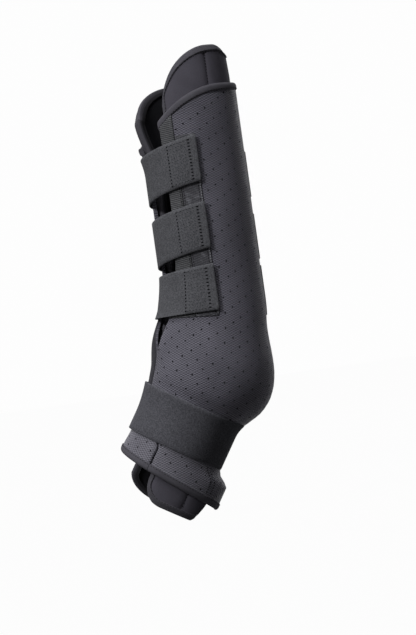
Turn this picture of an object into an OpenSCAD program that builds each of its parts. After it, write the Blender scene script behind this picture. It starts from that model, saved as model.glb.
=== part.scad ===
// Padded boot for a horse's lower leg: a quilted liner inside a perforated three-panel shell,
// closed by three elastic straps over the cannon and one wide strap below the fetlock.
// Every piece is a strip or panel of fabric laid on one leg form. A place on that form is given by
// an angle round the leg (0 at the front, positive to the fastening side, 180 at the back), a level
// along the leg (0 at the fetlock, positive up) and a height above the skin.

/* [Leg] */
// Front-to-back depth of the cannon
cannon_depth = 67; // [56:0.5:78]
// Side-to-side width of the cannon
cannon_width = 53; // [44:0.5:64]
// How far the fetlock stands out in front
fetlock_front = 14; // [8:0.5:16]
// How far the fetlock stands out behind
fetlock_back = 15.5; // [8:0.5:18]
// How far the fetlock stands out at each side
fetlock_side = 6; // [3:0.5:10]
// Front-to-back depth of the pastern
pastern_depth = 67; // [58:0.5:74]
// Side-to-side width of the pastern
pastern_width = 59; // [50:0.5:68]
// Forward slope of the pastern, in degrees from the cannon
pastern_angle = 32.5; // [26:0.5:38]
// Radius of the bend between cannon and pastern
bend_radius = 150; // [130:1:180]
// Level at which the leg starts to bend
bend_start = 58; // [50:1:66]

/* [Layers] */
// Thickness of the soft lining against the leg
lining_t = 1; // [0.8:0.1:2]
// Thickness of the foam pad
pad_t = 8; // [5:0.5:12]
// Depth of the sewn channels in the foam pad
quilt_dip = 1.6; // [0.5:0.1:2.5]
// Thickness of the perforated shell
shell_t = 4; // [2.5:0.25:6]
// Thickness of the loop tape
loop_t = 0.8; // [0.6:0.1:1.5]
// Thickness of the hook tape
hook_t = 0.8; // [0.6:0.1:1.5]
// Thickness of the elastic straps
strap_t = 1.6; // [1.2:0.1:2.5]
// Clearance between fabric layers
fabric_gap = 0.35; // [0.35:0.05:0.6]

/* [Wrap edges] */
// Level of the liner's top lobes
liner_top = 302; // [290:1:315]
// Height of the rounded front of a top lobe
lobe_rise = 60; // [50:1:66]
// Dip of the liner's top edge at the back
lobe_dip = 7; // [4:1:20]
// Level of the liner's bottom edge
liner_hem = -145; // [-152:1:-138]
// Height of the rounded front of a bottom lobe
hem_lobe = 22; // [12:1:26]
// Rise of the liner's bottom edge at the back
hem_back_rise = 27; // [12:1:28]
// Forward spread of the liner above the upper strap
top_spread = 11; // [0:0.5:14]
// Level of the shell's top edge at the back
shell_top = 264; // [256:1:270]
// Drop of the shell's top edge towards the front
shell_dip = 36; // [26:1:40]
// Level of the shell's bottom edge at the front
shell_hem = -112; // [-116:1:-108]
// Further drop of the shell's bottom edge at the back
hem_drop = 15; // [6:0.5:16]
// Outward flare of the bottom edge behind the pastern
hem_flare = 12; // [4:0.5:13]
// Outward flare of the bottom edge in front of the pastern
hem_front_flare = 1; // [0:0.5:5]
// Angle of the panel seams from the front, in degrees
seam_angle = 148; // [142:1:152]
// Angle of the fastening edge on the cannon
near_edge_cannon = 51; // [48:1:54]
// Angle of the fastening edge at the fetlock
near_edge_fetlock = 22; // [18:1:28]
// Angle of the fastening edge at the bottom
near_edge_hem = 70; // [66:1:74]
// Angle of the opposite edge on the cannon
far_edge_cannon = 2; // [-6:1:8]
// Width of the edge binding
binding_w = 7; // [5:0.5:9]
// How far the binding stands proud of the shell
binding_proud = 0.9; // [0.5:0.1:1.5]

/* [Cannon straps] */
// Width of each cannon strap
strap_w = 44; // [36:1:46]
// Level of the upper strap where it is sewn on
strap_1_level = 176; // [172:1:180]
// Level of the middle strap where it is sewn on
strap_2_level = 116; // [114:1:119]
// Level of the lower strap where it is sewn on
strap_3_level = 66; // [62:1:67]
// Rise of the upper strap towards its tab
strap_1_rise = 22; // [16:1:24]
// Rise of the middle strap towards its tab
strap_2_rise = 18; // [12:1:20]
// Rise of the lower strap towards its tab
strap_3_rise = 8; // [3:1:12]
// Angle of the straps' tab ends
tab_end = 93; // [91:1:97]
// Angle of the seam between edge facing and loop tape
facing_end = 69; // [67:1:72]

/* [Fetlock strap] */
// Width of the fetlock strap
fetlock_strap_w = 47; // [40:1:50]
// Level of the fetlock strap's middle
fetlock_strap_level = -66; // [-70:1:-62]
// Angle of the fetlock strap's tab end, on the side away from the fastening edge
fetlock_tab_end = -108; // [-120:1:-100]

/* [Hidden] */

// Heights above the skin at which each layer lies
pad_in = lining_t + fabric_gap;
pad_out = pad_in + pad_t;
shell_in = pad_out + fabric_gap;
shell_out = shell_in + shell_t;
tape_in = shell_out + fabric_gap;
tape_out = tape_in + loop_t;
hook_in = tape_out + fabric_gap;
hook_out = hook_in + hook_t;
tab_in = hook_out + fabric_gap;
// How far the liner's binding stands proud towards the leg
liner_binding_proud = 0.6;
// Clearance between panels that meet edge to edge, and at a strap's folds
seam_gap = 0.5;
fold_gap = 1;
// Share of a binding's width over which its outer edge is rounded
binding_round = 0.35;

// Where the bulge of the fetlock sits along the leg: its middle, and its reach up and down
front_bulge = [12, 86, 85];
back_bulge = [-12, 54, 44];
side_bulge = [-2, 90, 70];
// Levels between which the bottom edge flares out behind
flare_from = -92;
flare_to = -104;
// Levels between which the front of the liner spreads at the top
spread_from = 185;
spread_to = 240;
// Levels between which the two front edges change their angle
near_edge_top = 150;
near_edge_waist = [-38, -45];
near_edge_low = -98;
far_edge_turn = [45, -20];
pad_edge_turn = [-30, -110];
// Angle of the far pad's edge at the bottom, and the step of the near pad behind the shell's edge
far_pad_hem = -42;
near_pad_step = 1.5;
// Angles that shape the lobes and the shell's top edge
lobe_peak = 128;
lobe_foot = 52;
lobe_dip_from = 140;
far_lobe_join = 61;
far_lobe_drop = 32;
far_lobe_rise = 46;
hem_lobe_near = [100, 72];
hem_lobe_far = [95, 40];
dip_angles = [40, 130];
hem_rise_from = 142;
hem_rise_to = 159;
// Angle of the sewn channel in each pad, and half its width
quilt_angle = 121;
quilt_half = 6;
// Folds of the straps, and the angle at which each is sewn on
strap_sewn = -168;
fold_far = -52;
fold_near = 54;
rise_span = [-40, 120];
fetlock_sewn = 145;
fetlock_fold_near = 36;
fetlock_fold_far = -46;
// Hook and loop tapes: margin inside a strap's edges, and angles from a fold and a tab's end
tape_margin = 3;
tape_lead = 8;
tape_tail = 3;
// Rows of a panel: spacing on the straight cannon, round the fetlock, and where the front edges swing back
row_open = 24;
row_close = 16;
row_fine = 10;
edge_rows = 2;
// Columns of a panel: from the front edge to the channel, from the channel to the seam, and of the back
near_columns = 8;
far_columns = 14;
seam_columns = 2;
spine_columns = 8;
// Degrees between the columns of a strap, and the rows across it
strap_step = 8;
strap_rows = 4;

// Curves
function mix(a, b, t) = a + (b - a) * t;
function clamp01(t) = min(1, max(0, t));
function ease(t) = let (c = clamp01(t)) c * c * (3 - 2 * c);
function bell(s, at) =
    let (t = s > at[0] ? (s - at[0]) / at[1] : (at[0] - s) / at[2]) t >= 1 ? 0 : (1 + cos(180 * t)) / 2;
// Drop of a quarter ellipse: 0 at t 0 and 1 at t 1
function round_off(t) = 1 - sqrt(1 - pow(clamp01(t), 2));

// The leg's line in the plane of symmetry, as [x, z], and the unit vector to its front
bend_end = bend_start - bend_radius * pastern_angle * PI / 180;
function turn(s) = pastern_angle * clamp01((bend_start - s) / (bend_start - bend_end));
function line_at(s) =
    let (a = turn(s), below = max(0, bend_end - s))
    [-bend_radius * (1 - cos(a)) - below * sin(a),
     (s > bend_start ? s : bend_start - bend_radius * sin(a)) - below * cos(a)];
function ahead(s) = [-cos(turn(s)), sin(turn(s))];

// Half sizes of the leg at a level
function pastern_share(s) = ease((bend_start - s) / (bend_start - bend_end));
function front_reach(s) =
    mix(cannon_depth, pastern_depth, pastern_share(s)) / 2 + fetlock_front * bell(s, front_bulge)
    + hem_front_flare * ease((flare_from - s) / (flare_from - flare_to));
function back_reach(s) =
    mix(cannon_depth, pastern_depth, pastern_share(s)) / 2 + fetlock_back * bell(s, back_bulge)
    + hem_flare * ease((flare_from - s) / (flare_from - flare_to));
function half_width(s) =
    mix(cannon_width, pastern_width, pastern_share(s)) / 2 + fetlock_side * bell(s, side_bulge);

// The point at an angle, level and height above the skin
function reach(u, s) =
    cos(u) < 0 ? back_reach(s)
    : front_reach(s) + top_spread * pow(cos(u), 4) * ease((s - spread_from) / (spread_to - spread_from));
function place(u, s, d) =
    let (c = line_at(s), f = ahead(s), k = (reach(u, s) + d) * cos(u))
    [c[0] + f[0] * k, -(half_width(s) + d) * sin(u), c[1] + f[1] * k];
// Degrees round the cannon for a length along the shell
function degrees(length) = length / (cannon_depth / 2 + shell_out) * 180 / PI;

// Edges of the wrap: an angle at a level, or a level at an angle
function near_edge(s) =
    s > near_edge_waist[1]
    ? mix(near_edge_fetlock, near_edge_cannon,
          ease((s - near_edge_waist[0]) / (near_edge_top - near_edge_waist[0])))
    : mix(near_edge_fetlock, near_edge_hem,
          ease((near_edge_waist[1] - s) / (near_edge_waist[1] - near_edge_low)));
function far_edge(s) =
    mix(far_edge_cannon, near_edge(s) - degrees(fold_gap),
        ease((far_edge_turn[0] - s) / (far_edge_turn[0] - far_edge_turn[1])));
function near_pad_edge(s) = near_edge(s) + near_pad_step;
function far_pad_edge(s) =
    mix(far_edge_cannon, far_pad_hem, ease((pad_edge_turn[0] - s) / (pad_edge_turn[0] - pad_edge_turn[1])));
function shell_top_at(u) =
    let (t = (dip_angles[1] - max(abs(u), dip_angles[0])) / (dip_angles[1] - dip_angles[0]))
    shell_top - shell_dip * pow(clamp01(t), 2);
function shell_hem_at(u) = shell_hem - hem_drop * abs(u) / 180;
function lobe_at(u) =
    liner_top - lobe_rise * round_off((lobe_peak - abs(u)) / (lobe_peak - lobe_foot))
    - lobe_dip * ease((abs(u) - lobe_dip_from) / (180 - lobe_dip_from));
function far_lobe_at(u) =
    max(lobe_at(u),
        liner_top - far_lobe_drop - far_lobe_rise * round_off((far_lobe_join - abs(u)) / far_lobe_join));
function hem_lobe_at(u, span) =
    liner_hem + hem_lobe * round_off((span[0] - abs(u)) / (span[0] - span[1]))
    + hem_back_rise * ease((abs(u) - hem_rise_from) / (hem_rise_to - hem_rise_from));

// Rows that every panel shares between its own top and bottom edges
core_top = shell_top - shell_dip - binding_w - 2 * seam_gap;
core_low = shell_hem + binding_w + 2 * seam_gap;
close_from = front_bulge[0] + front_bulge[1];
close_to = near_edge_waist[0];
open_rows = ceil((core_top - close_from) / row_open);
close_rows = ceil((close_from - close_to) / row_close);
low_rows = ceil((close_to - core_low) / row_fine);
core_rows = concat(
    [for (i = [0:open_rows - 1]) mix(core_top, close_from, i / open_rows)],
    [for (i = [0:close_rows - 1]) mix(close_from, close_to, i / close_rows)],
    [for (i = [0:low_rows]) mix(close_to, core_low, i / low_rows)]);

// Angles of a panel's columns, from a front edge to a seam, with three on the sewn channel.
// side is 1 for the fastening side, -1 for the other and 0 for the back.
function columns(front, seam, side) =
    let (from = side * (quilt_angle - quilt_half),
         to = side * (quilt_angle + quilt_half),
         count = side > 0 ? near_columns : far_columns)
    side == 0
    ? [for (j = [0:spine_columns]) mix(front, seam, j / spine_columns)]
    : concat(
        [for (j = [0:count]) mix(front, from, j / count)],
        [side * quilt_angle],
        [for (j = [0:seam_columns]) mix(to, seam, j / seam_columns)]);

// Inset of an edge's level for a width measured square to the edge
function inset_level(edge, u, width) =
    let (slope = (edge(u + 1) - edge(u - 1)) / 2 * degrees(1)) width * min(1.5, sqrt(1 + slope * slope));
// The angle at which a front edge meets a top or bottom edge
function corner(front, edge, u, tries = 4) = tries == 0 ? u : corner(front, edge, front(edge(u)), tries - 1);

// A panel's grid of [angle, level], from its top to its bottom and from its front edge to its seam.
// inset is the room left for a binding at the top and bottom, and front_inset at the front.
function panel_grid(front, seam, top, low, side, inset, front_inset) =
    let (front_in = function (s) front(s) + side * degrees(front_inset),
         top_in = function (u) top(u) - inset_level(top, u, inset),
         low_in = function (u) low(u) + inset_level(low, u, inset),
         top_u = corner(front_in, top_in, front_in(core_top)),
         low_u = corner(front_in, low_in, front_in(core_low)))
    concat(
        [for (i = [0:edge_rows - 1])
            [for (u = columns(mix(top_u, front_in(core_top), i / edge_rows), seam, side))
                [u, mix(top_in(u), core_top, i / edge_rows)]]],
        [for (s = core_rows) [for (u = columns(front_in(s), seam, side)) [u, s]]],
        [for (i = [1:edge_rows])
            [for (u = columns(mix(front_in(core_low), low_u, i / edge_rows), seam, side))
                [u, mix(core_low, low_in(u), i / edge_rows)]]]);

function reverse(list) = [for (k = [len(list) - 1:-1:0]) list[k]];

// A closed solid over a grid of [angle, level], between two heights given as functions of the angle
module slab(grid, inner, outer) {
    rows = len(grid);
    cols = len(grid[0]);
    count = rows * cols;
    outside = [for (r = grid) for (p = r) place(p[0], p[1], outer(p[0]))];
    inside = [for (r = grid) for (p = r) place(p[0], p[1], inner(p[0]))];
    rim = concat(
        [for (j = [0:cols - 1]) j],
        [for (i = [1:rows - 1]) i * cols + cols - 1],
        [for (j = [cols - 2:-1:0]) (rows - 1) * cols + j],
        [for (i = [rows - 2:-1:1]) i * cols]);
    cells = [for (i = [0:rows - 2]) for (j = [0:cols - 2]) i * cols + j];
    edges = [for (k = [0:len(rim) - 1]) [rim[k], rim[(k + 1) % len(rim)]]];
    faces = concat(
        [for (a = cells) [a, a + 1, a + cols + 1]],
        [for (a = cells) [a, a + cols + 1, a + cols]],
        [for (a = cells) [count + a, count + a + cols + 1, count + a + 1]],
        [for (a = cells) [count + a, count + a + cols, count + a + cols + 1]],
        [for (e = edges) [e[0], count + e[0], count + e[1]]],
        [for (e = edges) [e[0], count + e[1], e[1]]]);
    backwards = grid[0][cols - 1][0] < grid[0][0][0];
    polyhedron(concat(outside, inside), backwards ? [for (f = faces) reverse(f)] : faces, convexity = 6);
}

// A binding between an outer and an inner line of [angle, level], rounded along the outer line.
// turned is true where the panel lies to the left of the line, seen from outside the boot.
module bead(outer_line, inner_line, low, high, turned) {
    section = [
        [1, high], [binding_round, high], [0, mix(high, low, 0.3)],
        [0, mix(high, low, 0.7)], [binding_round, low], [1, low]];
    n = len(section);
    last = len(outer_line) - 1;
    points = [for (i = [0:last]) for (q = section)
        let (p = mix(outer_line[i], inner_line[i], q[0])) place(p[0], p[1], q[1])];
    sides = [for (i = [0:last - 1]) for (k = [0:n - 1]) [i * n + k, i * n + (k + 1) % n]];
    faces = concat(
        [for (e = sides) [e[0], e[1], e[1] + n]],
        [for (e = sides) [e[0], e[1] + n, e[0] + n]],
        [[for (k = [n - 1:-1:0]) k]],
        [[for (k = [0:n - 1]) last * n + k]]);
    polyhedron(points, turned ? [for (f = faces) reverse(f)] : faces, convexity = 6);
}

// A grid's top row, bottom row, and the line round its top, front and bottom
function top_row(grid) = grid[0];
function low_row(grid) = grid[len(grid) - 1];
function rim_line(grid) = concat(
    reverse(top_row(grid)),
    [for (i = [1:len(grid) - 2]) grid[i][0]],
    low_row(grid));

// Panels of the shell and of the liner: the fastening side, the other side and the back
seam_edge = seam_angle - degrees(seam_gap) / 2;
spine_edge = seam_angle + degrees(seam_gap) / 2;
bound = binding_w + seam_gap;
shell_top_line = function (u) shell_top_at(u > 180 ? 360 - u : u);
shell_low_line = function (u) shell_hem_at(u > 180 ? 360 - u : u);
spine_line = function (s) spine_edge;
near_shell_line = function (s) near_edge(s);
far_shell_line = function (s) far_edge(s);
near_pad_line = function (s) near_pad_edge(s);
far_pad_line = function (s) far_pad_edge(s);
near_lobe_line = function (u) lobe_at(u > 180 ? 360 - u : u);
far_lobe_line = function (u) far_lobe_at(u);
near_low_line = function (u) hem_lobe_at(u > 180 ? 360 - u : u, hem_lobe_near);
far_low_line = function (u) hem_lobe_at(u, hem_lobe_far);
function near_shell_grid(inset) =
    panel_grid(near_shell_line, seam_edge, shell_top_line, shell_low_line, 1, inset, 0);
function far_shell_grid(inset) =
    panel_grid(far_shell_line, -seam_edge, shell_top_line, shell_low_line, -1, inset, 0);
function spine_shell_grid(inset) =
    panel_grid(spine_line, 360 - spine_edge, shell_top_line, shell_low_line, 0, inset, 0);
function near_liner_grid(inset) =
    panel_grid(near_pad_line, seam_edge, near_lobe_line, near_low_line, 1, inset, inset);
function far_liner_grid(inset) =
    panel_grid(far_pad_line, -seam_edge, far_lobe_line, far_low_line, -1, inset, inset);
function spine_liner_grid(inset) =
    panel_grid(spine_line, 360 - spine_edge, near_lobe_line, near_low_line, 0, inset, 0);

// The pad's outer face is drawn in along its sewn channel
function channel(u) = quilt_dip * clamp01(1 - abs(abs(u) - quilt_angle) / quilt_half);

module shell_panel(grid) {
    color([0.16, 0.16, 0.18])
        slab(grid, function (u) shell_in, function (u) shell_out);
}

module pad_panel(grid) {
    color([0.22, 0.22, 0.23])
        slab(grid, function (u) pad_in, function (u) pad_out - channel(u));
}

module lining_panel(grid) {
    color([0.10, 0.10, 0.11])
        slab(grid, function (u) 0, function (u) lining_t);
}

module shell_binding(outer_line, inner_line, turned) {
    color([0.20, 0.20, 0.21])
        bead(outer_line, inner_line, shell_in, shell_out + binding_proud, turned);
}

module liner_binding(outer_line, inner_line, turned) {
    color([0.20, 0.20, 0.21])
        bead(outer_line, inner_line, -liner_binding_proud, pad_out, turned);
}

// A strip of fabric between two angles, centred on a level that may change with the angle
module strip(from, to, mid, width, inner, thickness) {
    count = ceil((to - from) / strap_step);
    grid = [for (i = [0:strap_rows]) [for (j = [0:count])
        let (u = mix(from, to, j / count)) [u, mid(u) + width * (0.5 - i / strap_rows)]]];
    slab(grid, inner, function (u) inner(u) + thickness);
}

half_fold = degrees(fold_gap) / 2;
function strap_level(i) = [strap_1_level, strap_2_level, strap_3_level][i];
function strap_rise(i) = [strap_1_rise, strap_2_rise, strap_3_rise][i];
function strap_mid(i, u) =
    strap_level(i) + strap_rise(i) * ease((u - rise_span[0]) / (rise_span[1] - rise_span[0]));
// A band climbs from the shell at its sewn end to the height of the hook tape at its tab
function climb(u, from, to) = mix(tape_in, tab_in, ease((u - from) / (to - from)));

module strap_anchor(i) {
    color([0.30, 0.30, 0.31])
        strip(strap_sewn, fold_far - half_fold, function (u) strap_mid(i, u), strap_w,
              function (u) tape_in, strap_t);
}

module strap_band(i) {
    color([0.30, 0.30, 0.31])
        strip(fold_far + half_fold, fold_near - half_fold, function (u) strap_mid(i, u), strap_w,
              function (u) climb(u, fold_far, fold_near), strap_t);
}

module strap_tab(i) {
    color([0.30, 0.30, 0.31])
        strip(fold_near + half_fold, tab_end, function (u) strap_mid(i, u), strap_w,
              function (u) tab_in, strap_t);
}

module strap_hook_pad(i) {
    color([0.08, 0.08, 0.08])
        strip(fold_near + tape_lead, tab_end - tape_tail, function (u) strap_mid(i, u),
              strap_w - 2 * tape_margin, function (u) hook_in, hook_t);
}

// The facing along the fastening edge and the loop tape beside it, below the shell's top binding
strip_low = strap_3_level - strap_w / 2 + 2;
strip_levels = concat([for (s = core_rows) if (s > strip_low + 2) s], [strip_low]);
strip_end = tab_end - 1;

module edge_facing() {
    grid = [for (s = strip_levels) [for (j = [0:4])
        [mix(near_edge(s) + 1, facing_end - half_fold / 2, j / 4), s]]];
    color([0.24, 0.24, 0.25])
        slab(grid, function (u) tape_in, function (u) tape_out);
}

module landing_strip() {
    grid = [for (s = strip_levels) [for (j = [0:3])
        [mix(facing_end + half_fold / 2, strip_end, j / 3), s]]];
    color([0.13, 0.13, 0.14])
        slab(grid, function (u) tape_in, function (u) tape_out);
}

module fetlock_landing_patch() {
    color([0.13, 0.13, 0.14])
        strip(fetlock_tab_end - tape_tail, fetlock_fold_far - tape_lead / 2, function (u) fetlock_strap_level,
              fetlock_strap_w - tape_margin, function (u) tape_in, loop_t);
}

module fetlock_strap_anchor() {
    color([0.30, 0.30, 0.31])
        strip(fetlock_fold_near + half_fold, fetlock_sewn, function (u) fetlock_strap_level, fetlock_strap_w,
              function (u) tape_in, strap_t);
}

module fetlock_strap_band() {
    color([0.30, 0.30, 0.31])
        strip(fetlock_fold_far + half_fold, fetlock_fold_near - half_fold, function (u) fetlock_strap_level,
              fetlock_strap_w, function (u) climb(u, fetlock_fold_near, fetlock_fold_far), strap_t);
}

module fetlock_strap_tab() {
    color([0.30, 0.30, 0.31])
        strip(fetlock_tab_end, fetlock_fold_far - half_fold, function (u) fetlock_strap_level,
              fetlock_strap_w, function (u) tab_in, strap_t);
}

module fetlock_hook_pad() {
    color([0.08, 0.08, 0.08])
        strip(fetlock_tab_end + tape_tail, fetlock_fold_far - tape_lead, function (u) fetlock_strap_level,
              fetlock_strap_w - 2 * tape_margin, function (u) hook_in, hook_t);
}

module near_shell() {
    shell_panel(near_shell_grid(bound));
}

module spine_shell() {
    shell_panel(spine_shell_grid(bound));
}

module far_shell() {
    shell_panel(far_shell_grid(bound));
}

module near_pad() {
    pad_panel(near_liner_grid(bound));
}

module spine_pad() {
    pad_panel(spine_liner_grid(bound));
}

module far_pad() {
    pad_panel(far_liner_grid(bound));
}

module near_lining() {
    lining_panel(near_liner_grid(bound));
}

module spine_lining() {
    lining_panel(spine_liner_grid(bound));
}

module far_lining() {
    lining_panel(far_liner_grid(bound));
}

module near_top_binding() {
    shell_binding(top_row(near_shell_grid(0)), top_row(near_shell_grid(binding_w)), false);
}

module spine_top_binding() {
    shell_binding(top_row(spine_shell_grid(0)), top_row(spine_shell_grid(binding_w)), false);
}

module far_top_binding() {
    shell_binding(top_row(far_shell_grid(0)), top_row(far_shell_grid(binding_w)), true);
}

module near_hem_binding() {
    shell_binding(low_row(near_shell_grid(0)), low_row(near_shell_grid(binding_w)), true);
}

module spine_hem_binding() {
    shell_binding(low_row(spine_shell_grid(0)), low_row(spine_shell_grid(binding_w)), true);
}

module far_hem_binding() {
    shell_binding(low_row(far_shell_grid(0)), low_row(far_shell_grid(binding_w)), false);
}

module near_liner_binding() {
    liner_binding(rim_line(near_liner_grid(0)), rim_line(near_liner_grid(binding_w)), true);
}

module spine_liner_top_binding() {
    liner_binding(top_row(spine_liner_grid(0)), top_row(spine_liner_grid(binding_w)), false);
}

module spine_liner_hem_binding() {
    liner_binding(low_row(spine_liner_grid(0)), low_row(spine_liner_grid(binding_w)), true);
}

module far_liner_binding() {
    liner_binding(rim_line(far_liner_grid(0)), rim_line(far_liner_grid(binding_w)), false);
}

near_shell();
spine_shell();
far_shell();
near_pad();
spine_pad();
far_pad();
near_lining();
spine_lining();
far_lining();
near_top_binding();
spine_top_binding();
far_top_binding();
near_hem_binding();
spine_hem_binding();
far_hem_binding();
near_liner_binding();
spine_liner_top_binding();
spine_liner_hem_binding();
far_liner_binding();
edge_facing();
landing_strip();
fetlock_landing_patch();
strap_anchor(0);  // strap_1_anchor
strap_band(0);  // strap_1_band
strap_tab(0);  // strap_1_tab
strap_hook_pad(0);  // strap_1_hook_pad
strap_anchor(1);  // strap_2_anchor
strap_band(1);  // strap_2_band
strap_tab(1);  // strap_2_tab
strap_hook_pad(1);  // strap_2_hook_pad
strap_anchor(2);  // strap_3_anchor
strap_band(2);  // strap_3_band
strap_tab(2);  // strap_3_tab
strap_hook_pad(2);  // strap_3_hook_pad
fetlock_strap_anchor();
fetlock_strap_band();
fetlock_strap_tab();
fetlock_hook_pad();
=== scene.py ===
"""Looks of a padded leg boot: perforated shell, quilted liner, elastic straps and the sewing."""

import logging
import math
from dataclasses import dataclass, field
from enum import Enum
from typing import Callable, Sequence

import bmesh
import bpy
import numpy as np
from mathutils import Matrix, Vector
from mathutils.geometry import delaunay_2d_cdt


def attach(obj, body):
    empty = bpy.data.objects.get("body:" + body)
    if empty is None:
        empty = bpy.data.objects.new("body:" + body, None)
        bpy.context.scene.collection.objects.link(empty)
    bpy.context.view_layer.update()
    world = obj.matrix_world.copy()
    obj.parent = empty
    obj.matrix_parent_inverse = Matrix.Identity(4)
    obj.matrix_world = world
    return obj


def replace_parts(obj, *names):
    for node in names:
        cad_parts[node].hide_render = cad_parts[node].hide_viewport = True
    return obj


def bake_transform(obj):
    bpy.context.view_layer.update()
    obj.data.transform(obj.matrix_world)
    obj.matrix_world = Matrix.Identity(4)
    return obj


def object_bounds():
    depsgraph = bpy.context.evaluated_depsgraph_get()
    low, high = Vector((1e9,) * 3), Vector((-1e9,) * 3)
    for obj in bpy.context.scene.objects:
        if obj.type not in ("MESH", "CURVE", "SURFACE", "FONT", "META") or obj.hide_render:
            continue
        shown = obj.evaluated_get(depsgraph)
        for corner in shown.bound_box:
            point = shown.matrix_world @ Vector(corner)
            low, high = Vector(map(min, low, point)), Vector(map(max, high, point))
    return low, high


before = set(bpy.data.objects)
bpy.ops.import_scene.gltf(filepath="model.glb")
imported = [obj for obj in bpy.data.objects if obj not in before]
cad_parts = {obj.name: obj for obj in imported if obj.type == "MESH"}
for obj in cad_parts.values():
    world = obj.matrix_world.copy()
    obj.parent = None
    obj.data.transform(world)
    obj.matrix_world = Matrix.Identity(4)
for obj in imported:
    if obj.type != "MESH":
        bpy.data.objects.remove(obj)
CAD_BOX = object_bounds()
LOG = logging.getLogger("leg_boot")
MM = 0.001
CLOTH_SCALE = 100.0  # millimetres of cloth for one unit of its UV map
FETLOCK_LEVEL = -66.0  # level of the fetlock strap's middle line in mm
STRAP_PRESS = 2.0  # how far that strap presses the shell in behind, in mm
STRAP_SWELL = 3.2  # how far the shell swells out just above it, in mm
CLEAR = 0.1  # gap in mm between a tape and the cloth under it
BAND_ROWS = 15  # rows across a strip of webbing, apart from one at each selvedge

Array = np.ndarray
Curve = Callable[[Array], Array]
Face = tuple[int, ...]
Piece = bpy.types.Object
Socket = bpy.types.NodeSocket


def ease(t: Array) -> Array:
    """Smooth step from 0 to 1."""
    c = np.clip(t, 0.0, 1.0)
    return c * c * (3 - 2 * c)


def round_off(t: Array) -> Array:
    """Drop of a quarter ellipse, 0 at t 0 and 1 at t 1."""
    c = np.clip(t, 0.0, 1.0)
    return 1 - np.sqrt(1 - c * c)


def mix(a: Array, b: Array, t: Array) -> Array:
    """Value between a and b at share t."""
    return a + (b - a) * t


def off_front(u: Array) -> Array:
    """Angle away from the front of the leg, 0 to 180, on either side."""
    return np.where(np.asarray(u) > 180, 360 - np.asarray(u), np.abs(u))


def steady(value: float) -> Curve:
    """A curve that holds one value."""
    return lambda t: np.full_like(np.asarray(t, float), value)


def upright(u: float, s: Array) -> Array:
    """Places at one angle over some levels."""
    return np.stack([np.full_like(s, u), s], 1)


def unit(v: Array) -> Array:
    """Vectors made one long."""
    return v / np.linalg.norm(v, axis=-1, keepdims=True)


class Side(Enum):
    """The three strips of the wrap round the leg."""

    NEAR = 1
    BACK = 0
    FAR = -1

    @property
    def word(self) -> str:
        """Start of the names of this strip's pieces."""
        return {Side.NEAR: "near", Side.BACK: "spine", Side.FAR: "far"}[self]


class Slot(Enum):
    """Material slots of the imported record."""

    SHELL = "shell_fabric"
    PAD = "liner_pad"
    BINDING = "binding_tape"
    ELASTIC = "elastic"
    LOOP = "loop_tape"
    FACING = "facing_tape"
    HOOK = "hook_tape"


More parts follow.
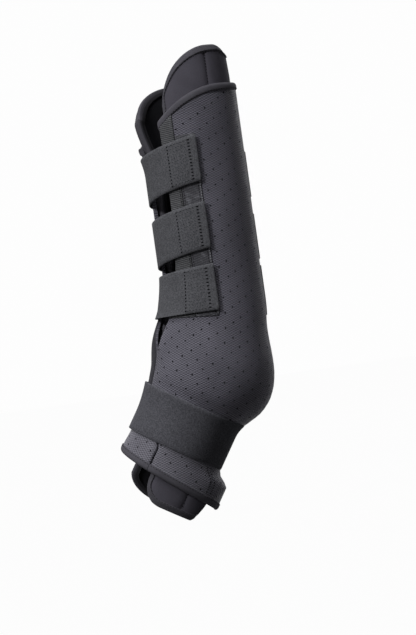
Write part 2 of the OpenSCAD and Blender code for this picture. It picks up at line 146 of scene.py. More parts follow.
@dataclass(frozen=True)
class LegForm:
    """The leg that the boot is wrapped on. A place is an angle, a level and a height, in mm."""

    cannon_depth: float = 67.0
    cannon_width: float = 53.0
    pastern_depth: float = 67.0
    pastern_width: float = 59.0
    fetlock_front: float = 14.0
    fetlock_back: float = 15.5
    fetlock_side: float = 6.0
    pastern_angle: float = 32.5
    bend_radius: float = 150.0
    bend_start: float = 58.0
    hem_flare: float = 12.0
    hem_front_flare: float = 1.0
    flare: tuple[float, float] = (-92.0, -104.0)
    top_spread: float = 11.0
    spread: tuple[float, float] = (185.0, 240.0)
    front_bulge: tuple[float, float, float] = (12.0, 86.0, 85.0)
    back_bulge: tuple[float, float, float] = (-12.0, 54.0, 44.0)
    side_bulge: tuple[float, float, float] = (-2.0, 90.0, 70.0)

    @staticmethod
    def bell(s: Array, at: tuple[float, float, float]) -> Array:
        """Rounded bump: 1 at its middle level, 0 at its reach up and down."""
        t = np.where(s > at[0], (s - at[0]) / at[1], (at[0] - s) / at[2])
        return np.where(t >= 1, 0.0, (1 + np.cos(np.pi * np.clip(t, 0, 1))) / 2)

    @property
    def bend_end(self) -> float:
        """Level at which the bend over the fetlock ends."""
        return self.bend_start - self.bend_radius * math.radians(self.pastern_angle)

    def at(self, u: Array, s: Array, d: Array) -> Array:
        """Points of the wrap in the shared frame.

        Args:
            u: Angles round the leg in degrees, 0 in front, growing to the fastening side.
            s: Levels along the leg in mm.
            d: Heights above the skin in mm.

        Returns:
            Points in metres, with the three coordinates last.
        """
        u, s, d = np.broadcast_arrays(*(np.asarray(v, float) for v in (u, s, d)))
        share = (self.bend_start - s) / (self.bend_start - self.bend_end)
        a = math.radians(self.pastern_angle) * np.clip(share, 0, 1)
        below = np.maximum(0, self.bend_end - s)
        x = -self.bend_radius * (1 - np.cos(a)) - below * np.sin(a)
        bent = self.bend_start - self.bend_radius * np.sin(a)
        z = np.where(s > self.bend_start, s, bent) - below * np.cos(a)
        lower = ease(share)
        depth = mix(self.cannon_depth, self.pastern_depth, lower) / 2
        half = mix(self.cannon_width, self.pastern_width, lower) / 2
        half = half + self.fetlock_side * self.bell(s, self.side_bulge)
        flare = ease((self.flare[0] - s) / (self.flare[0] - self.flare[1]))
        front = depth + self.fetlock_front * self.bell(s, self.front_bulge)
        front = front + self.hem_front_flare * flare
        back = depth + self.fetlock_back * self.bell(s, self.back_bulge) + self.hem_flare * flare
        cu, su = np.cos(np.radians(u)), np.sin(np.radians(u))
        rise = (s - self.spread[0]) / (self.spread[1] - self.spread[0])
        spread = self.top_spread * cu**4 * ease(rise)
        k = (np.where(cu < 0, back, front + spread) + d) * cu
        return np.stack([x - np.cos(a) * k, -(half + d) * su, z + np.sin(a) * k], -1) * MM

    def steps(self, u: Array, s: Array, d: Array) -> tuple[Array, Array]:
        """Vectors in mm for one degree round the leg and for one mm along it."""
        across = (self.at(np.add(u, 0.5), s, d) - self.at(np.subtract(u, 0.5), s, d)) / MM
        along = (self.at(u, np.add(s, 0.5), d) - self.at(u, np.subtract(s, 0.5), d)) / MM
        return across, along

    def outward(self, u: Array, s: Array, d: Array) -> Array:
        """Unit vectors that point away from the leg."""
        return unit(np.cross(*self.steps(u, s, d)))

    def degrees(self, length: float) -> float:
        """Degrees round the cannon for a length in mm along the shell."""
        return math.degrees(length / (self.cannon_depth / 2 + LAYERS.shell_out))

    def per_degree(self, u: Array, s: Array) -> Array:
        """Millimetres round the shell for one degree."""
        return np.linalg.norm(self.steps(u, s, LAYERS.shell_out)[0], axis=-1)


@dataclass(frozen=True)
class Layers:
    """Heights of the layers above the skin, and thicknesses and widths of tapes, in mm."""

    pad_out: float = 9.35
    shell_in: float = 9.7
    shell_out: float = 13.7
    tape_in: float = 14.05
    tape_out: float = 14.85
    hook_in: float = 15.2
    tab_in: float = 16.35
    strap: float = 1.6
    tape: float = 0.8
    binding: float = 7.0
    shell_tuck: float = 0.6
    pad_tuck: float = 0.7
    proud: float = 0.9
    inner_proud: float = 0.6


LAYERS = Layers()
LEG = LegForm()


@dataclass(frozen=True)
class WrapEdges:
    """Edges of shell and liner: an angle at a level, or a level at an angle."""

    seam: float = 148.0
    channel: float = 121.0
    core_top: float = 220.0
    core_low: float = -104.0
    front_fetlock: float = 22.0
    front_top: float = 51.0
    front_hem: float = 70.0
    far_front_top: float = 2.0
    far_front_hem: float = -42.0
    shell_high: float = 264.0
    shell_dip: float = 36.0
    far_droop: float = 14.0
    hem_level: float = -112.0
    hem_fall: float = 15.0
    lobe_high: float = 302.0
    lobe_low: float = -145.0

    def near_front(self, s: Array) -> Array:
        """Free front edge of the fastening side's shell."""
        upper = mix(self.front_fetlock, self.front_top, ease((s + 38.0) / 188.0))
        lower = mix(self.front_fetlock, self.front_hem, ease((-45.0 - s) / 53.0))
        return np.where(np.asarray(s) > -45.0, upper, lower)

    def far_front(self, s: Array) -> Array:
        """Front edge of the other side's shell, which passes under the near one low down."""
        under = self.near_front(s) - LEG.degrees(1.0)
        return mix(self.far_front_top, under, ease((45.0 - s) / 65.0))

    def near_pad_front(self, s: Array) -> Array:
        """Front edge of the fastening side's liner."""
        return self.near_front(s) + 1.5

    def far_pad_front(self, s: Array) -> Array:
        """Front edge of the other side's liner."""
        return mix(self.far_front_top, self.far_front_hem, ease((-30.0 - s) / 80.0))

    def shell_top(self, u: Array) -> Array:
        """Top edge of the shell, lower in front."""
        share = np.clip((130.0 - np.maximum(off_front(u), 40.0)) / 90.0, 0, 1)
        return self.shell_high - self.shell_dip * share**2

    def far_shell_top(self, u: Array) -> Array:
        """Top edge of the other side's shell, which droops at its free corner."""
        return self.shell_top(u) - self.far_droop * (1 - ease((off_front(u) - 4.0) / 44.0))

    def shell_hem(self, u: Array) -> Array:
        """Bottom edge of the shell."""
        return self.hem_level - self.hem_fall * off_front(u) / 180.0

    def lobe(self, u: Array) -> Array:
        """Top edge of the liner, with its lobe."""
        v = off_front(u)
        front, behind = round_off((128.0 - v) / 76.0), ease((v - 140.0) / 40.0)
        return self.lobe_high - 60.0 * front - 7.0 * behind

    def far_lobe(self, u: Array) -> Array:
        """Top edge of the other side's liner, whose lobe runs on to the front."""
        front = round_off((61.0 - off_front(u)) / 61.0)
        return np.maximum(self.lobe(u), self.lobe_high - 32.0 - 46.0 * front)

    def hem_lobe(self, u: Array, start: float, end: float) -> Array:
        """Bottom edge of the liner, with a lobe that rounds up between two angles."""
        v = off_front(u)
        front, behind = round_off((start - v) / (start - end)), ease((v - 142.0) / 17.0)
        return self.lobe_low + 22.0 * front + 27.0 * behind

    def near_hem_lobe(self, u: Array) -> Array:
        """Bottom edge of the fastening side's liner."""
        return self.hem_lobe(u, 100.0, 72.0)

    def far_hem_lobe(self, u: Array) -> Array:
        """Bottom edge of the other side's liner."""
        return self.hem_lobe(u, 95.0, 40.0)


EDGES = WrapEdges()


@dataclass(frozen=True)
class PanelCut:
    """Cut of one panel: its front edge as angles, its seam, and its top and bottom as levels."""

    side: Side
    front: Curve
    seam: float
    top: Curve
    low: Curve

    LEAD_END = 114.0
    CHANNEL_COLUMNS = (117.0, 119.0, 120.3, 121.0, 121.7, 123.0, 125.0)
    TAIL_START = 128.0
    TAIL_COLUMNS = 7
    EDGE_ROWS = 8

    def inset(self, edge: Curve, u: Array, width: float) -> Array:
        """Change of level for a width measured square to an edge."""
        slope = (edge(np.add(u, 1.0)) - edge(np.subtract(u, 1.0))) / 2 * LEG.degrees(1.0)
        return width * np.minimum(1.5, np.sqrt(1 + slope * slope))

    def lines(self, inset: float, front_inset: float) -> tuple[Curve, Curve, Curve]:
        """Front, top and bottom edges moved in by a binding's width."""
        turn = self.side.value * LEG.degrees(front_inset)
        return (
            lambda s: self.front(s) + turn,
            lambda u: self.top(u) - self.inset(self.top, u, inset),
            lambda u: self.low(u) + self.inset(self.low, u, inset),
        )

    @staticmethod
    def corner(front: Curve, edge: Curve, level: float) -> float:
        """Angle at which a front edge meets a top or bottom edge, sought from a level near it."""
        u = float(front(level))
        for _ in range(4):
            u = float(front(edge(u)))
        return u

    def columns(self, front: Array, count: int) -> Array:
        """Angles of the columns for each row, closer together on the sewn channel.

        Args:
            front: Angle of the front edge in each row.
            count: Columns from the front edge to the channel.

        Returns:
            One row of angles for each given front.
        """
        front = np.atleast_1d(np.asarray(front, float))[:, None]
        share = np.linspace(0, 1, count)[None]
        if self.side is Side.BACK:
            return mix(front, self.seam, share)
        k = self.side.value
        lead = mix(front, self.LEAD_END * k, share)
        tail = mix(self.TAIL_START * k, self.seam, np.linspace(0, 1, self.TAIL_COLUMNS))
        rest = np.concatenate([k * np.array(self.CHANNEL_COLUMNS), tail])
        return np.concatenate([lead, np.broadcast_to(rest, (len(front), len(rest)))], 1)

    def grid(self, inset: float, front_inset: float, count: int, row: float) -> Array:
        """Angles and levels over the whole panel, from top to bottom and from front edge to seam.

        Args:
            inset: Room left at the top and bottom for a binding.
            front_inset: Room left at the front.
            count: Columns from the front edge to the channel.
            row: Spacing of the rows along the leg in mm.

        Returns:
            An array of rows, columns and [angle, level].
        """
        front, top, low = self.lines(inset, front_inset)
        high, deep = EDGES.core_top, EDGES.core_low
        core = np.linspace(high, deep, int((high - deep) / row) + 1)
        top_u, low_u = self.corner(front, top, high), self.corner(front, low, deep)
        share = np.linspace(0, 1, self.EDGE_ROWS + 1)[:, None]
        u_top = self.columns(mix(top_u, float(front(high)), share[:-1, 0]), count)
        u_core = self.columns(front(core), count)
        u_low = self.columns(mix(float(front(deep)), low_u, share[1:, 0]), count)
        s_top = mix(top(u_top), high, share[:-1])
        s_core = np.broadcast_to(core[:, None], u_core.shape)
        s_low = mix(deep, low(u_low), share[1:])
        u, s = np.concatenate([u_top, u_core, u_low]), np.concatenate([s_top, s_core, s_low])
        return np.stack([u, s], -1)


def strip_cuts(near: Sequence[Curve], far: Sequence[Curve]) -> dict[Side, PanelCut]:
    """Cuts of the three strips. The back takes its top and bottom from the fastening side.

    Args:
        near: Front, top and bottom edges on the fastening side.
        far: The same on the other side.

    Returns:
        The cut of each strip.
    """
    seam = EDGES.seam
    return {
        Side.NEAR: PanelCut(Side.NEAR, near[0], seam, *near[1:]),
        Side.BACK: PanelCut(Side.BACK, steady(seam), 360 - seam, *near[1:]),
        Side.FAR: PanelCut(Side.FAR, far[0], -seam, *far[1:]),
    }


SHELL_CUTS = strip_cuts(
    (EDGES.near_front, EDGES.shell_top, EDGES.shell_hem),
    (EDGES.far_front, EDGES.far_shell_top, EDGES.shell_hem),
)
LINER_CUTS = strip_cuts(
    (EDGES.near_pad_front, EDGES.lobe, EDGES.near_hem_lobe),
    (EDGES.far_pad_front, EDGES.far_lobe, EDGES.far_hem_lobe),
)


class Bench:
    """Node tree of one material while it is put together. Cloth coordinates are in mm."""

    def __init__(self, name: str) -> None:
        """Starts a material with one surface shader."""
        self.material = bpy.data.materials.new(name)
        self.material.use_nodes = True
        self.tree = self.material.node_tree
        self.shader = self.tree.nodes["Principled BSDF"]
        uv = self.tree.nodes.new("ShaderNodeUVMap")
        uv.uv_map = "cloth"
        self.cloth = self.run("ShaderNodeVectorMath", "SCALE", {0: uv.outputs[0], 3: CLOTH_SCALE})

    def run(self, kind: str, operation: str, inputs: dict[int, object]) -> Socket:
        """Adds a node that computes something.

        Args:
            kind: Blender's node type.
            operation: The node's operation, or an empty string.
            inputs: Values or sockets by the number of the input.

        Returns:
            The node's first output.
        """
        node = self.tree.nodes.new(kind)
        if operation:
            node.operation = operation
        for key, value in inputs.items():
            if isinstance(value, Socket):
                self.tree.links.new(value, node.inputs[key])
            else:
                node.inputs[key].default_value = value
        return node.outputs[0]

    def math(self, operation: str, a: object, b: object = 0.0) -> Socket:
        """Adds one sum."""
        return self.run("ShaderNodeMath", operation, {0: a, 1: b})

    def times_plus(self, a: object, by: object, plus: object) -> Socket:
        """Adds one product and a sum to it."""
        return self.run("ShaderNodeMath", "MULTIPLY_ADD", {0: a, 1: by, 2: plus})

    def ribs(self, pitch: float, angle: float) -> Socket:
        """Ribs across the cloth, from 0 in a groove to 1 on a rib.

        Args:
            pitch: Spacing of the ribs in mm.
            angle: Direction square to the ribs, in degrees from the cloth's width.

        Returns:
            The height of the ribs.
        """
        a, k = math.radians(angle), 2 * math.pi / pitch
        node = self.tree.nodes.new("ShaderNodeVectorMath")
        node.operation = "DOT_PRODUCT"
        self.tree.links.new(self.cloth, node.inputs[0])
        node.inputs[1].default_value = (k * math.cos(a), k * math.sin(a), 0.0)
        wave = self.math("SINE", node.outputs["Value"])
        return self.times_plus(wave, 0.5, 0.5)

    def grain(self, size: float, detail: float = 2.0, seed: float = 0.0) -> Socket:
        """Irregular grain of the cloth, about 0 to 1.

        Args:
            size: Size of the grain in mm.
            detail: Layers of finer grain.
            seed: Picks another grain.

        Returns:
            The grain's value.
        """
        node = self.tree.nodes.new("ShaderNodeTexNoise")
        node.noise_dimensions = "4D"
        self.tree.links.new(self.cloth, node.inputs["Vector"])
        node.inputs["W"].default_value = seed
        node.inputs["Scale"].default_value = 1.0 / size
        node.inputs["Detail"].default_value = detail
        return node.outputs[0]

    def span(self, value: object, low: float, high: float, to_low: float, to_high: float) -> Socket:
        """Maps a value from one span to another, held at both ends."""
        values = (value, low, high, to_low, to_high)
        return self.run("ShaderNodeMapRange", "", dict(enumerate(values)))

    def tint(self, share: object, low: Sequence[float], high: Sequence[float]) -> Socket:
        """Colour between two colours."""
        node = self.tree.nodes.new("ShaderNodeMix")
        node.data_type = "RGBA"
        node.inputs[6].default_value = (*low, 1.0)
        node.inputs[7].default_value = (*high, 1.0)
        self.tree.links.new(share, node.inputs[0])
        return node.outputs[2]

    def shade(self, colour: object, by: object) -> Socket:
        """Colour made darker or lighter by a factor."""
        return self.run("ShaderNodeVectorMath", "SCALE", {0: colour, 3: by})

    def surface(self, colour: object, height: object, depth: float, rough: object) -> None:
        """Puts colour, relief and roughness on the shader.

        Args:
            colour: Socket with the colour.
            height: Socket with the relief, 0 to 1.
            depth: Depth of the relief in mm.
            rough: Socket with the roughness.
        """
        bump = self.tree.nodes.new("ShaderNodeBump")
        bump.inputs["Strength"].default_value = 1.0
        bump.inputs["Distance"].default_value = depth * MM
        self.tree.links.new(height, bump.inputs["Height"])
        self.tree.links.new(bump.outputs[0], self.shader.inputs["Normal"])
        self.tree.links.new(colour, self.shader.inputs["Base Color"])
        self.tree.links.new(rough, self.shader.inputs["Roughness"])

    def soften(self, sheen: float, specular: float) -> None:
        """Sets the cloth's sheen and gloss, which are the same all over."""
        self.shader.inputs["Sheen Weight"].default_value = sheen
        self.shader.inputs["Sheen Roughness"].default_value = 0.45
        self.shader.inputs["Specular IOR Level"].default_value = specular


@dataclass(frozen=True)
class Finish:
    """A cloth finish: its colour, and how strongly it shines."""

    name: str
    colour: tuple[float, float, float]
    sheen: float = 0.12
    specular: float = 0.28

    def material(self) -> bpy.types.Material:
        """The material of this finish, made once."""
        found = bpy.data.materials.get(self.name)
        if found:
            return found
        bench = Bench(self.name)
        self.weave(bench)
        bench.soften(self.sheen, self.specular)
        return bench.material

    def scaled(self, by: float) -> tuple[float, float, float]:
        """The finish's colour made darker or lighter."""
        return tuple(c * by for c in self.colour)

    def weave(self, bench: Bench) -> None:
        """Fine plain cloth: small grain with faint threads and slow patches."""
        thread = bench.math("MULTIPLY", bench.ribs(0.9, 0), bench.ribs(0.9, 90))
        fine = bench.grain(1.1, 3.0)
        height = bench.times_plus(thread, 0.4, fine)
        patch = bench.span(bench.grain(26.0, 2.0, 4.0), 0.3, 0.7, 0.9, 1.1)
        colour = bench.shade(bench.tint(fine, self.scaled(0.78), self.scaled(1.22)), patch)
        bench.surface(colour, height, 0.12, bench.span(fine, 0.3, 0.7, 0.72, 0.9))


@dataclass(frozen=True)
class RibbedCloth(Finish):
    """Laminated cloth with fine slanting ribs, crossed by a second set."""

    pitch: float = 2.05
    slant: float = 52.0
    depth: float = 0.4
    crossed: float = 0.5
    pale: float = 0.0
    apart: float = 58.0

    def weave(self, bench: Bench) -> None:
        """Two sets of ribs, with painted shade in the grooves and painted highlight on the ribs
        over a random grain, slow patches and worn pale spots.
        """
        ribs = bench.math("MULTIPLY", bench.ribs(self.pitch, self.slant), 1.0 - self.crossed)
        cross = bench.ribs(self.pitch, self.slant + self.apart)
        height = bench.times_plus(cross, self.crossed, ribs)
        fine = bench.grain(1.3, 2.0)
        grain_and_rib_shade = bench.times_plus(fine, 0.35, bench.math("MULTIPLY", height, 0.7))
        patch = bench.span(bench.grain(34.0, 3.0, 2.0), 0.3, 0.7, 0.86, 1.12)
        worn = bench.span(bench.grain(5.0, 2.0, 6.0), 0.52, 0.7, 0.0, self.pale)
        # Colour follows the rib height as well as the grain: painted shade in the grooves, painted
        # highlight on the ribs.
        face = bench.tint(grain_and_rib_shade, self.scaled(0.3), self.scaled(1.67))
        colour = bench.shade(face, bench.math("ADD", patch, worn))
        bench.surface(colour, height, self.depth, bench.span(height, 0.1, 0.9, 0.6, 0.45))


@dataclass(frozen=True)
class Webbing(Finish):
    """Elastic webbing: felted face, faint lengthwise cords and paler selvedges."""

    width: float = 44.0
    selvedge: float = 0.1

    def weave(self, bench: Bench) -> None:
        """Speckle on fine cords, and a pale line along both edges."""
        parts = bench.tree.nodes.new("ShaderNodeSeparateXYZ")
        bench.tree.links.new(bench.cloth, parts.inputs[0])
        edge = bench.math("ABSOLUTE", parts.outputs[1])
        selvedge = bench.span(edge, self.width / 2 - 1.5, self.width / 2 - 0.5, 0.0, 1.0)
        cord = bench.math("MULTIPLY", bench.ribs(1.5, 90), bench.ribs(1.1, 0))
        fine = bench.grain(1.05, 2.0, 7.0)
        height = bench.times_plus(cord, 0.3, fine)
        speckle = bench.span(fine, 0.32, 0.68, 0.0, 1.0)
        patch = bench.span(bench.grain(30.0, 2.0, 5.0), 0.3, 0.7, 0.93, 1.07)
        face = bench.tint(speckle, self.scaled(0.62), self.scaled(1.38))
        lift = bench.times_plus(selvedge, self.selvedge, patch)
        bench.surface(bench.shade(face, lift), height, 0.18, bench.span(fine, 0.3, 0.7, 0.8, 0.94))


@dataclass(frozen=True)
class Pile(Finish):
    """Loop tape or hook tape: a rough nap in close rows."""

    nap: float = 0.7

    def weave(self, bench: Bench) -> None:
        """Coarse nap over lengthwise rows."""
        rows = bench.ribs(2.2, 0)
        nap = bench.grain(self.nap, 4.0, 9.0)
        height = bench.times_plus(rows, 0.35, nap)
        colour = bench.tint(bench.span(nap, 0.3, 0.7, 0.0, 1.0), self.scaled(0.6), self.scaled(1.4))
        bench.surface(colour, height, 0.45, bench.span(nap, 0.3, 0.7, 0.82, 0.96))


@dataclass(frozen=True)
class Thread(Finish):
    """Twisted sewing thread."""

    def weave(self, bench: Bench) -> None:
        """Slanting twist along each stitch."""
        twist = bench.ribs(0.5, 35)
        colour = bench.tint(twist, self.scaled(0.7), self.scaled(1.25))
        bench.surface(colour, twist, 0.08, bench.span(twist, 0.0, 1.0, 0.7, 0.5))


SHELL_CLOTH = RibbedCloth("shell_cloth", (0.0875, 0.0850, 0.1035), 0.02, 0.05)
# Lighter copy of the shell cloth for the lower band of the shell: painted highlight where the
# flared hem catches the light.
HEM_HIGHLIGHT_CLOTH = RibbedCloth("shell_hem_cloth", (0.114, 0.111, 0.131), 0.02, 0.05)
# Plain cloth at the far panel's front, coloured dark: painted shade of the gap behind the near
# front edge.
SHADED_FRONT_CLOTH = Finish("plain_front_cloth", (0.036, 0.035, 0.041), 0.02, 0.04)
TAPE_CLOTH = RibbedCloth("facing_cloth", (0.060, 0.061, 0.065), 0.02, 0.04,
                         pitch=2.1, slant=88.0, depth=0.2, crossed=0.1, pale=0.3, apart=90.0)
# Walls and floor of each shallow pit: painted shade for the depth of a hole through the shell.
PIT_SHADE_CLOTH = Finish("perforation_inside", (0.040, 0.040, 0.047), 0.0, 0.02)
COVER_CLOTH = Finish("liner_cover", (0.0666, 0.0633, 0.0777), 0.02, 0.05)
LINING_CLOTH = Finish("brushed_lining", (0.012, 0.012, 0.014), 0.0, 0.03)
BINDING_CLOTH = Finish("edge_binding_cloth", (0.063, 0.061, 0.0715), 0.02, 0.06)
# Darker copies of the binding cloth for the liner tape's turn and inside: painted shade.
BINDING_TURN_SHADE = Finish("edge_binding_turn", (0.036, 0.035, 0.041), 0.02, 0.04)
BINDING_INSIDE_SHADE = Finish("edge_binding_inside", (0.018, 0.0175, 0.020), 0.02, 0.03)
STRAP_ELASTIC = Webbing("strap_elastic", (0.071, 0.072, 0.079), 0.02, 0.04, width=44.0)
FETLOCK_ELASTIC = Webbing("fetlock_elastic", (0.0600, 0.0603, 0.0692), 0.02, 0.04,
                          width=47.0, selvedge=0.3)
LOOP_PILE = Pile("loop_pile", (0.058, 0.058, 0.065), 0.03, 0.05)
LANDING_CLOTH = RibbedCloth("landing_loop_cloth", (0.056, 0.056, 0.063), 0.03, 0.04,
                            pitch=1.7, slant=90.0, depth=0.3, crossed=0.2, pale=0.8, apart=90.0)
HOOK_PILE = Pile("hook_pile", (0.016, 0.016, 0.018), 0.02, 0.08, nap=0.5)
DARK_THREAD = Thread("dark_thread", (0.004, 0.004, 0.005), 0.0, 0.03)
PALE_THREAD = Thread("pale_thread", (0.20, 0.20, 0.22), 0.0, 0.3)


class Workpiece:
    """Points, cloth coordinates and faces of one piece before it becomes a mesh."""

    def __init__(self) -> None:
        """Starts with nothing on the table."""
        self.points: list[Array] = []
        self.cloth: list[Array] = []
        self.faces: list[Face] = []
        self.finish: list[int] = []
        self.count = 0

    def add(self, points: Array, cloth: Array, faces: Sequence[Face], finish: int = 0) -> int:
        """Adds points and the faces between them.

        Args:
            points: Places in metres.
            cloth: Cloth coordinates in mm, two for each point.
            faces: Faces by the numbers of these points.
            finish: Number of the finish on these faces.

        Returns:
            The number that the first of these points got.
        """
        start = self.count
        self.points.append(np.reshape(points, (-1, 3)))
        self.cloth.append(np.reshape(cloth, (-1, 2)))
        self.count += len(self.points[-1])
        self.join([tuple(start + int(k) for k in f) for f in faces], finish)
        return start

    def join(self, faces: Sequence[Face], finish: int = 0) -> None:
        """Adds faces between points that are there already."""
        self.faces.extend(faces)
        self.finish.extend([finish] * len(faces))

    def build(self, name: str, finishes: Sequence[Finish], crease: float = 50.0) -> Piece:
        """Makes the mesh object.

        Args:
            name: The piece's name.
            finishes: Finishes in the order of their numbers.
            crease: Angle in degrees above which an edge stays sharp.

        Returns:
            The new object, linked to the scene.
        """
        mesh = bpy.data.meshes.new(name)
        mesh.from_pydata(np.concatenate(self.points).tolist(), [], self.faces)
        mesh.polygons.foreach_set("material_index", np.array(self.finish, np.int32))
        cloth = np.concatenate(self.cloth)
        corner = np.zeros(len(mesh.loops), np.int32)
        mesh.loops.foreach_get("vertex_index", corner)
        layer = mesh.uv_layers.new(name="cloth")
        layer.data.foreach_set("uv", (cloth[corner] / CLOTH_SCALE).astype(np.float32).ravel())
        bm = bmesh.new()
        bm.from_mesh(mesh)
        bmesh.ops.recalc_face_normals(bm, faces=bm.faces)
        bm.to_mesh(mesh)
        bm.free()
        mesh.polygons.foreach_set("use_smooth", np.ones(len(mesh.polygons), bool))
        mesh.set_sharp_from_angle(angle=math.radians(crease))
        for finish in finishes:
            mesh.materials.append(finish.material())
        obj = bpy.data.objects.new(name, mesh)
        bpy.context.scene.collection.objects.link(obj)
        return obj


def rim_of(rows: int, cols: int) -> list[int]:
    """Numbers of a grid's border points, in order round it."""
    return (
        list(range(cols))
        + [i * cols + cols - 1 for i in range(1, rows)]
        + [(rows - 1) * cols + j for j in range(cols - 2, -1, -1)]
        + [i * cols for i in range(rows - 2, 0, -1)]
    )


def cells_of(rows: int, cols: int) -> list[Face]:
    """The four-sided cells of a grid."""
    return [
        (i * cols + j, (i + 1) * cols + j, (i + 1) * cols + j + 1, i * cols + j + 1)
        for i in range(rows - 1)
        for j in range(cols - 1)
    ]


def slab(work: Workpiece, grid: Array, inner: Array, outer: Array, cloth: Array,
         finishes: tuple[int, int] = (0, 0)) -> None:
    """Adds a closed layer over a grid.

    Args:
        work: The piece it goes to.
        grid: Angles and levels.
        inner: Heights of the inner face.
        outer: Heights of the outer face.
        cloth: Cloth coordinates in mm.
        finishes: Numbers of the finishes outside and inside.
    """
    rows, cols = grid.shape[:2]
    u, s = grid[..., 0], grid[..., 1]
    cells, rim = cells_of(rows, cols), rim_of(rows, cols)
    a = work.add(LEG.at(u, s, outer), cloth, cells, finishes[0])
    b = work.add(LEG.at(u, s, inner), cloth, [f[::-1] for f in cells], finishes[1])
    ring = zip(rim, rim[1:] + rim[:1])
    work.join([(a + p, a + q, b + q, b + p) for p, q in ring], finishes[0])


def scatter(work: Workpiece, spots: Array, axes: Sequence[Array], shape: Array,
            faces: Sequence[Face]) -> None:
    """Adds a copy of one small form at each of many spots.

    Args:
        work: The piece that they go to.
        spots: Places in metres.
        axes: Unit vectors at each place for the form's three directions.
        shape: The form's points in metres.
        faces: The form's faces.
    """
    points = spots[:, None]
    for k, axis in enumerate(axes):
        points = points + shape[None, :, k:k + 1] * axis[:, None]
    count, size = len(spots), len(shape)
    cloth = np.broadcast_to(shape[None, :, :2] / MM, (count, size, 2))
    work.add(points, cloth, [tuple(size * i + k for k in f) for i in range(count) for f in faces])


def run_along(u: Array, s: Array, d: Array) -> Array:
    """Length in mm along a line of places."""
    steps = np.linalg.norm(np.diff(LEG.at(u, s, d), axis=0), axis=1)
    return np.concatenate([[0.0], np.cumsum(steps)]) / MM


class FlatCloth:
    """The wrap's cloth rolled out flat, from a table of lengths round and along the leg in mm."""

    STEP = 2.0
    SIDE = 90.0
    BEHIND = 180.0

    def __init__(self, d: float) -> None:
        """Measures the cloth at a height above the skin."""
        self.u = np.arange(-200.0, 261.0, self.STEP)
        self.s = np.arange(-160.0, 321.0, self.STEP)
        steps = LEG.steps(self.u[None], self.s[:, None], d)
        across, along = (np.linalg.norm(v, axis=-1) for v in steps)
        self.across = np.cumsum(across, 1) * self.STEP
        self.across -= self.across[:, [int(np.argmin(np.abs(self.u - self.SIDE)))]]
        self.along = np.cumsum(along, 0) * self.STEP
        self.along -= self.along[[int(np.argmin(np.abs(self.s)))]]

    def lay(self, grid: Array) -> Array:
        """Cloth coordinates in mm of places on the leg.

        Args:
            grid: Angles and levels, last.

        Returns:
            Lengths round and along the leg, last.
        """
        row = np.clip((grid[..., 1] - self.s[0]) / self.STEP, 0, len(self.s) - 1.001)
        col = np.clip((grid[..., 0] - self.u[0]) / self.STEP, 0, len(self.u) - 1.001)
        i, j = row.astype(int), col.astype(int)
        fi, fj = row - i, col - j
        lengths = []
        for table in (self.across, self.along):
            this_row = mix(table[i, j], table[i, j + 1], fj)
            next_row = mix(table[i + 1, j], table[i + 1, j + 1], fj)
            lengths.append(mix(this_row, next_row, fi))
        return np.stack(lengths, -1)

    def cut(self, grid: Array) -> Array:
        """Cloth coordinates in mm on the fastening side's panel, which is cut to the leg's bend.

        Args:
            grid: Angles and levels, last.

        Returns:
            Lengths level with the ground and upright, last.
        """
        s = grid[..., 1]
        middle, back = LEG.at(self.SIDE, s, 0.0), LEG.at(self.BEHIND, s, 0.0)
        away = unit((back - middle)[..., [0, 2]])
        return middle[..., [0, 2]] / MM + away * self.lay(grid)[..., :1]

    def place(self, cloth: Array) -> Array:
        """Angles and levels of points of the flat cloth, found by turns."""
        around, along = cloth.T
        u, s = np.full_like(around, self.SIDE), along.copy()
        for _ in range(6):
            rows = np.clip(np.rint((s - self.s[0]) / self.STEP), 0, len(self.s) - 1).astype(int)
            u = np.array([np.interp(a, self.across[k], self.u) for a, k in zip(around, rows)])
            cols = np.clip(np.rint((u - self.u[0]) / self.STEP), 0, len(self.u) - 1).astype(int)
            s = np.array([np.interp(a, self.along[:, k], self.s) for a, k in zip(along, cols)])
        return np.stack([u, s], 1)


CLOTH = FlatCloth(LAYERS.shell_out)


def settle(u: Array, s: Array) -> Array:
    """Slow unevenness of sewn cloth in mm, never outwards."""
    return -0.15 + 0.08 * np.sin(u / 13.0 + s / 21.0) + 0.07 * np.sin(u / 7.0 - s / 29.0 + 1.3)


def strap_press(u: Array, s: Array) -> Array:
    """How far the fetlock strap presses the shell in behind the leg, in mm."""
    u, s = np.asarray(u, float), np.asarray(s, float)
    behind = ease((u - 98.0) / 46.0) * ease((184.0 - u) / 6.0)
    return STRAP_PRESS * behind * ease((26.0 - np.abs(s - FETLOCK_LEVEL)) / 5.0)


def strap_swell(u: Array, s: Array) -> Array:
    """How far the padded shell swells out just above the fetlock strap, in mm."""
    u, s = np.abs(np.asarray(u, float)), np.asarray(s, float)
    sides = ease((u - 24.0) / 34.0) * ease((138.0 - u) / 36.0)
    return STRAP_SWELL * sides * ease((s + 43.0) / 14.0) * ease((14.0 - s) / 42.0)


def fasten(obj: Piece, side: Side, *nodes: str) -> Piece:
    """Lets a piece move with its strip of the wrap, and stand for CAD nodes.

    Args:
        obj: The piece.
        side: The strip. The back stays where it is.
        nodes: Names of the nodes that it stands for.

    Returns:
        The piece.
    """
    if side is Side.BACK:
        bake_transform(obj)
    else:
        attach(obj, f"{side.word}_half")
    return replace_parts(obj, *nodes) if nodes else obj


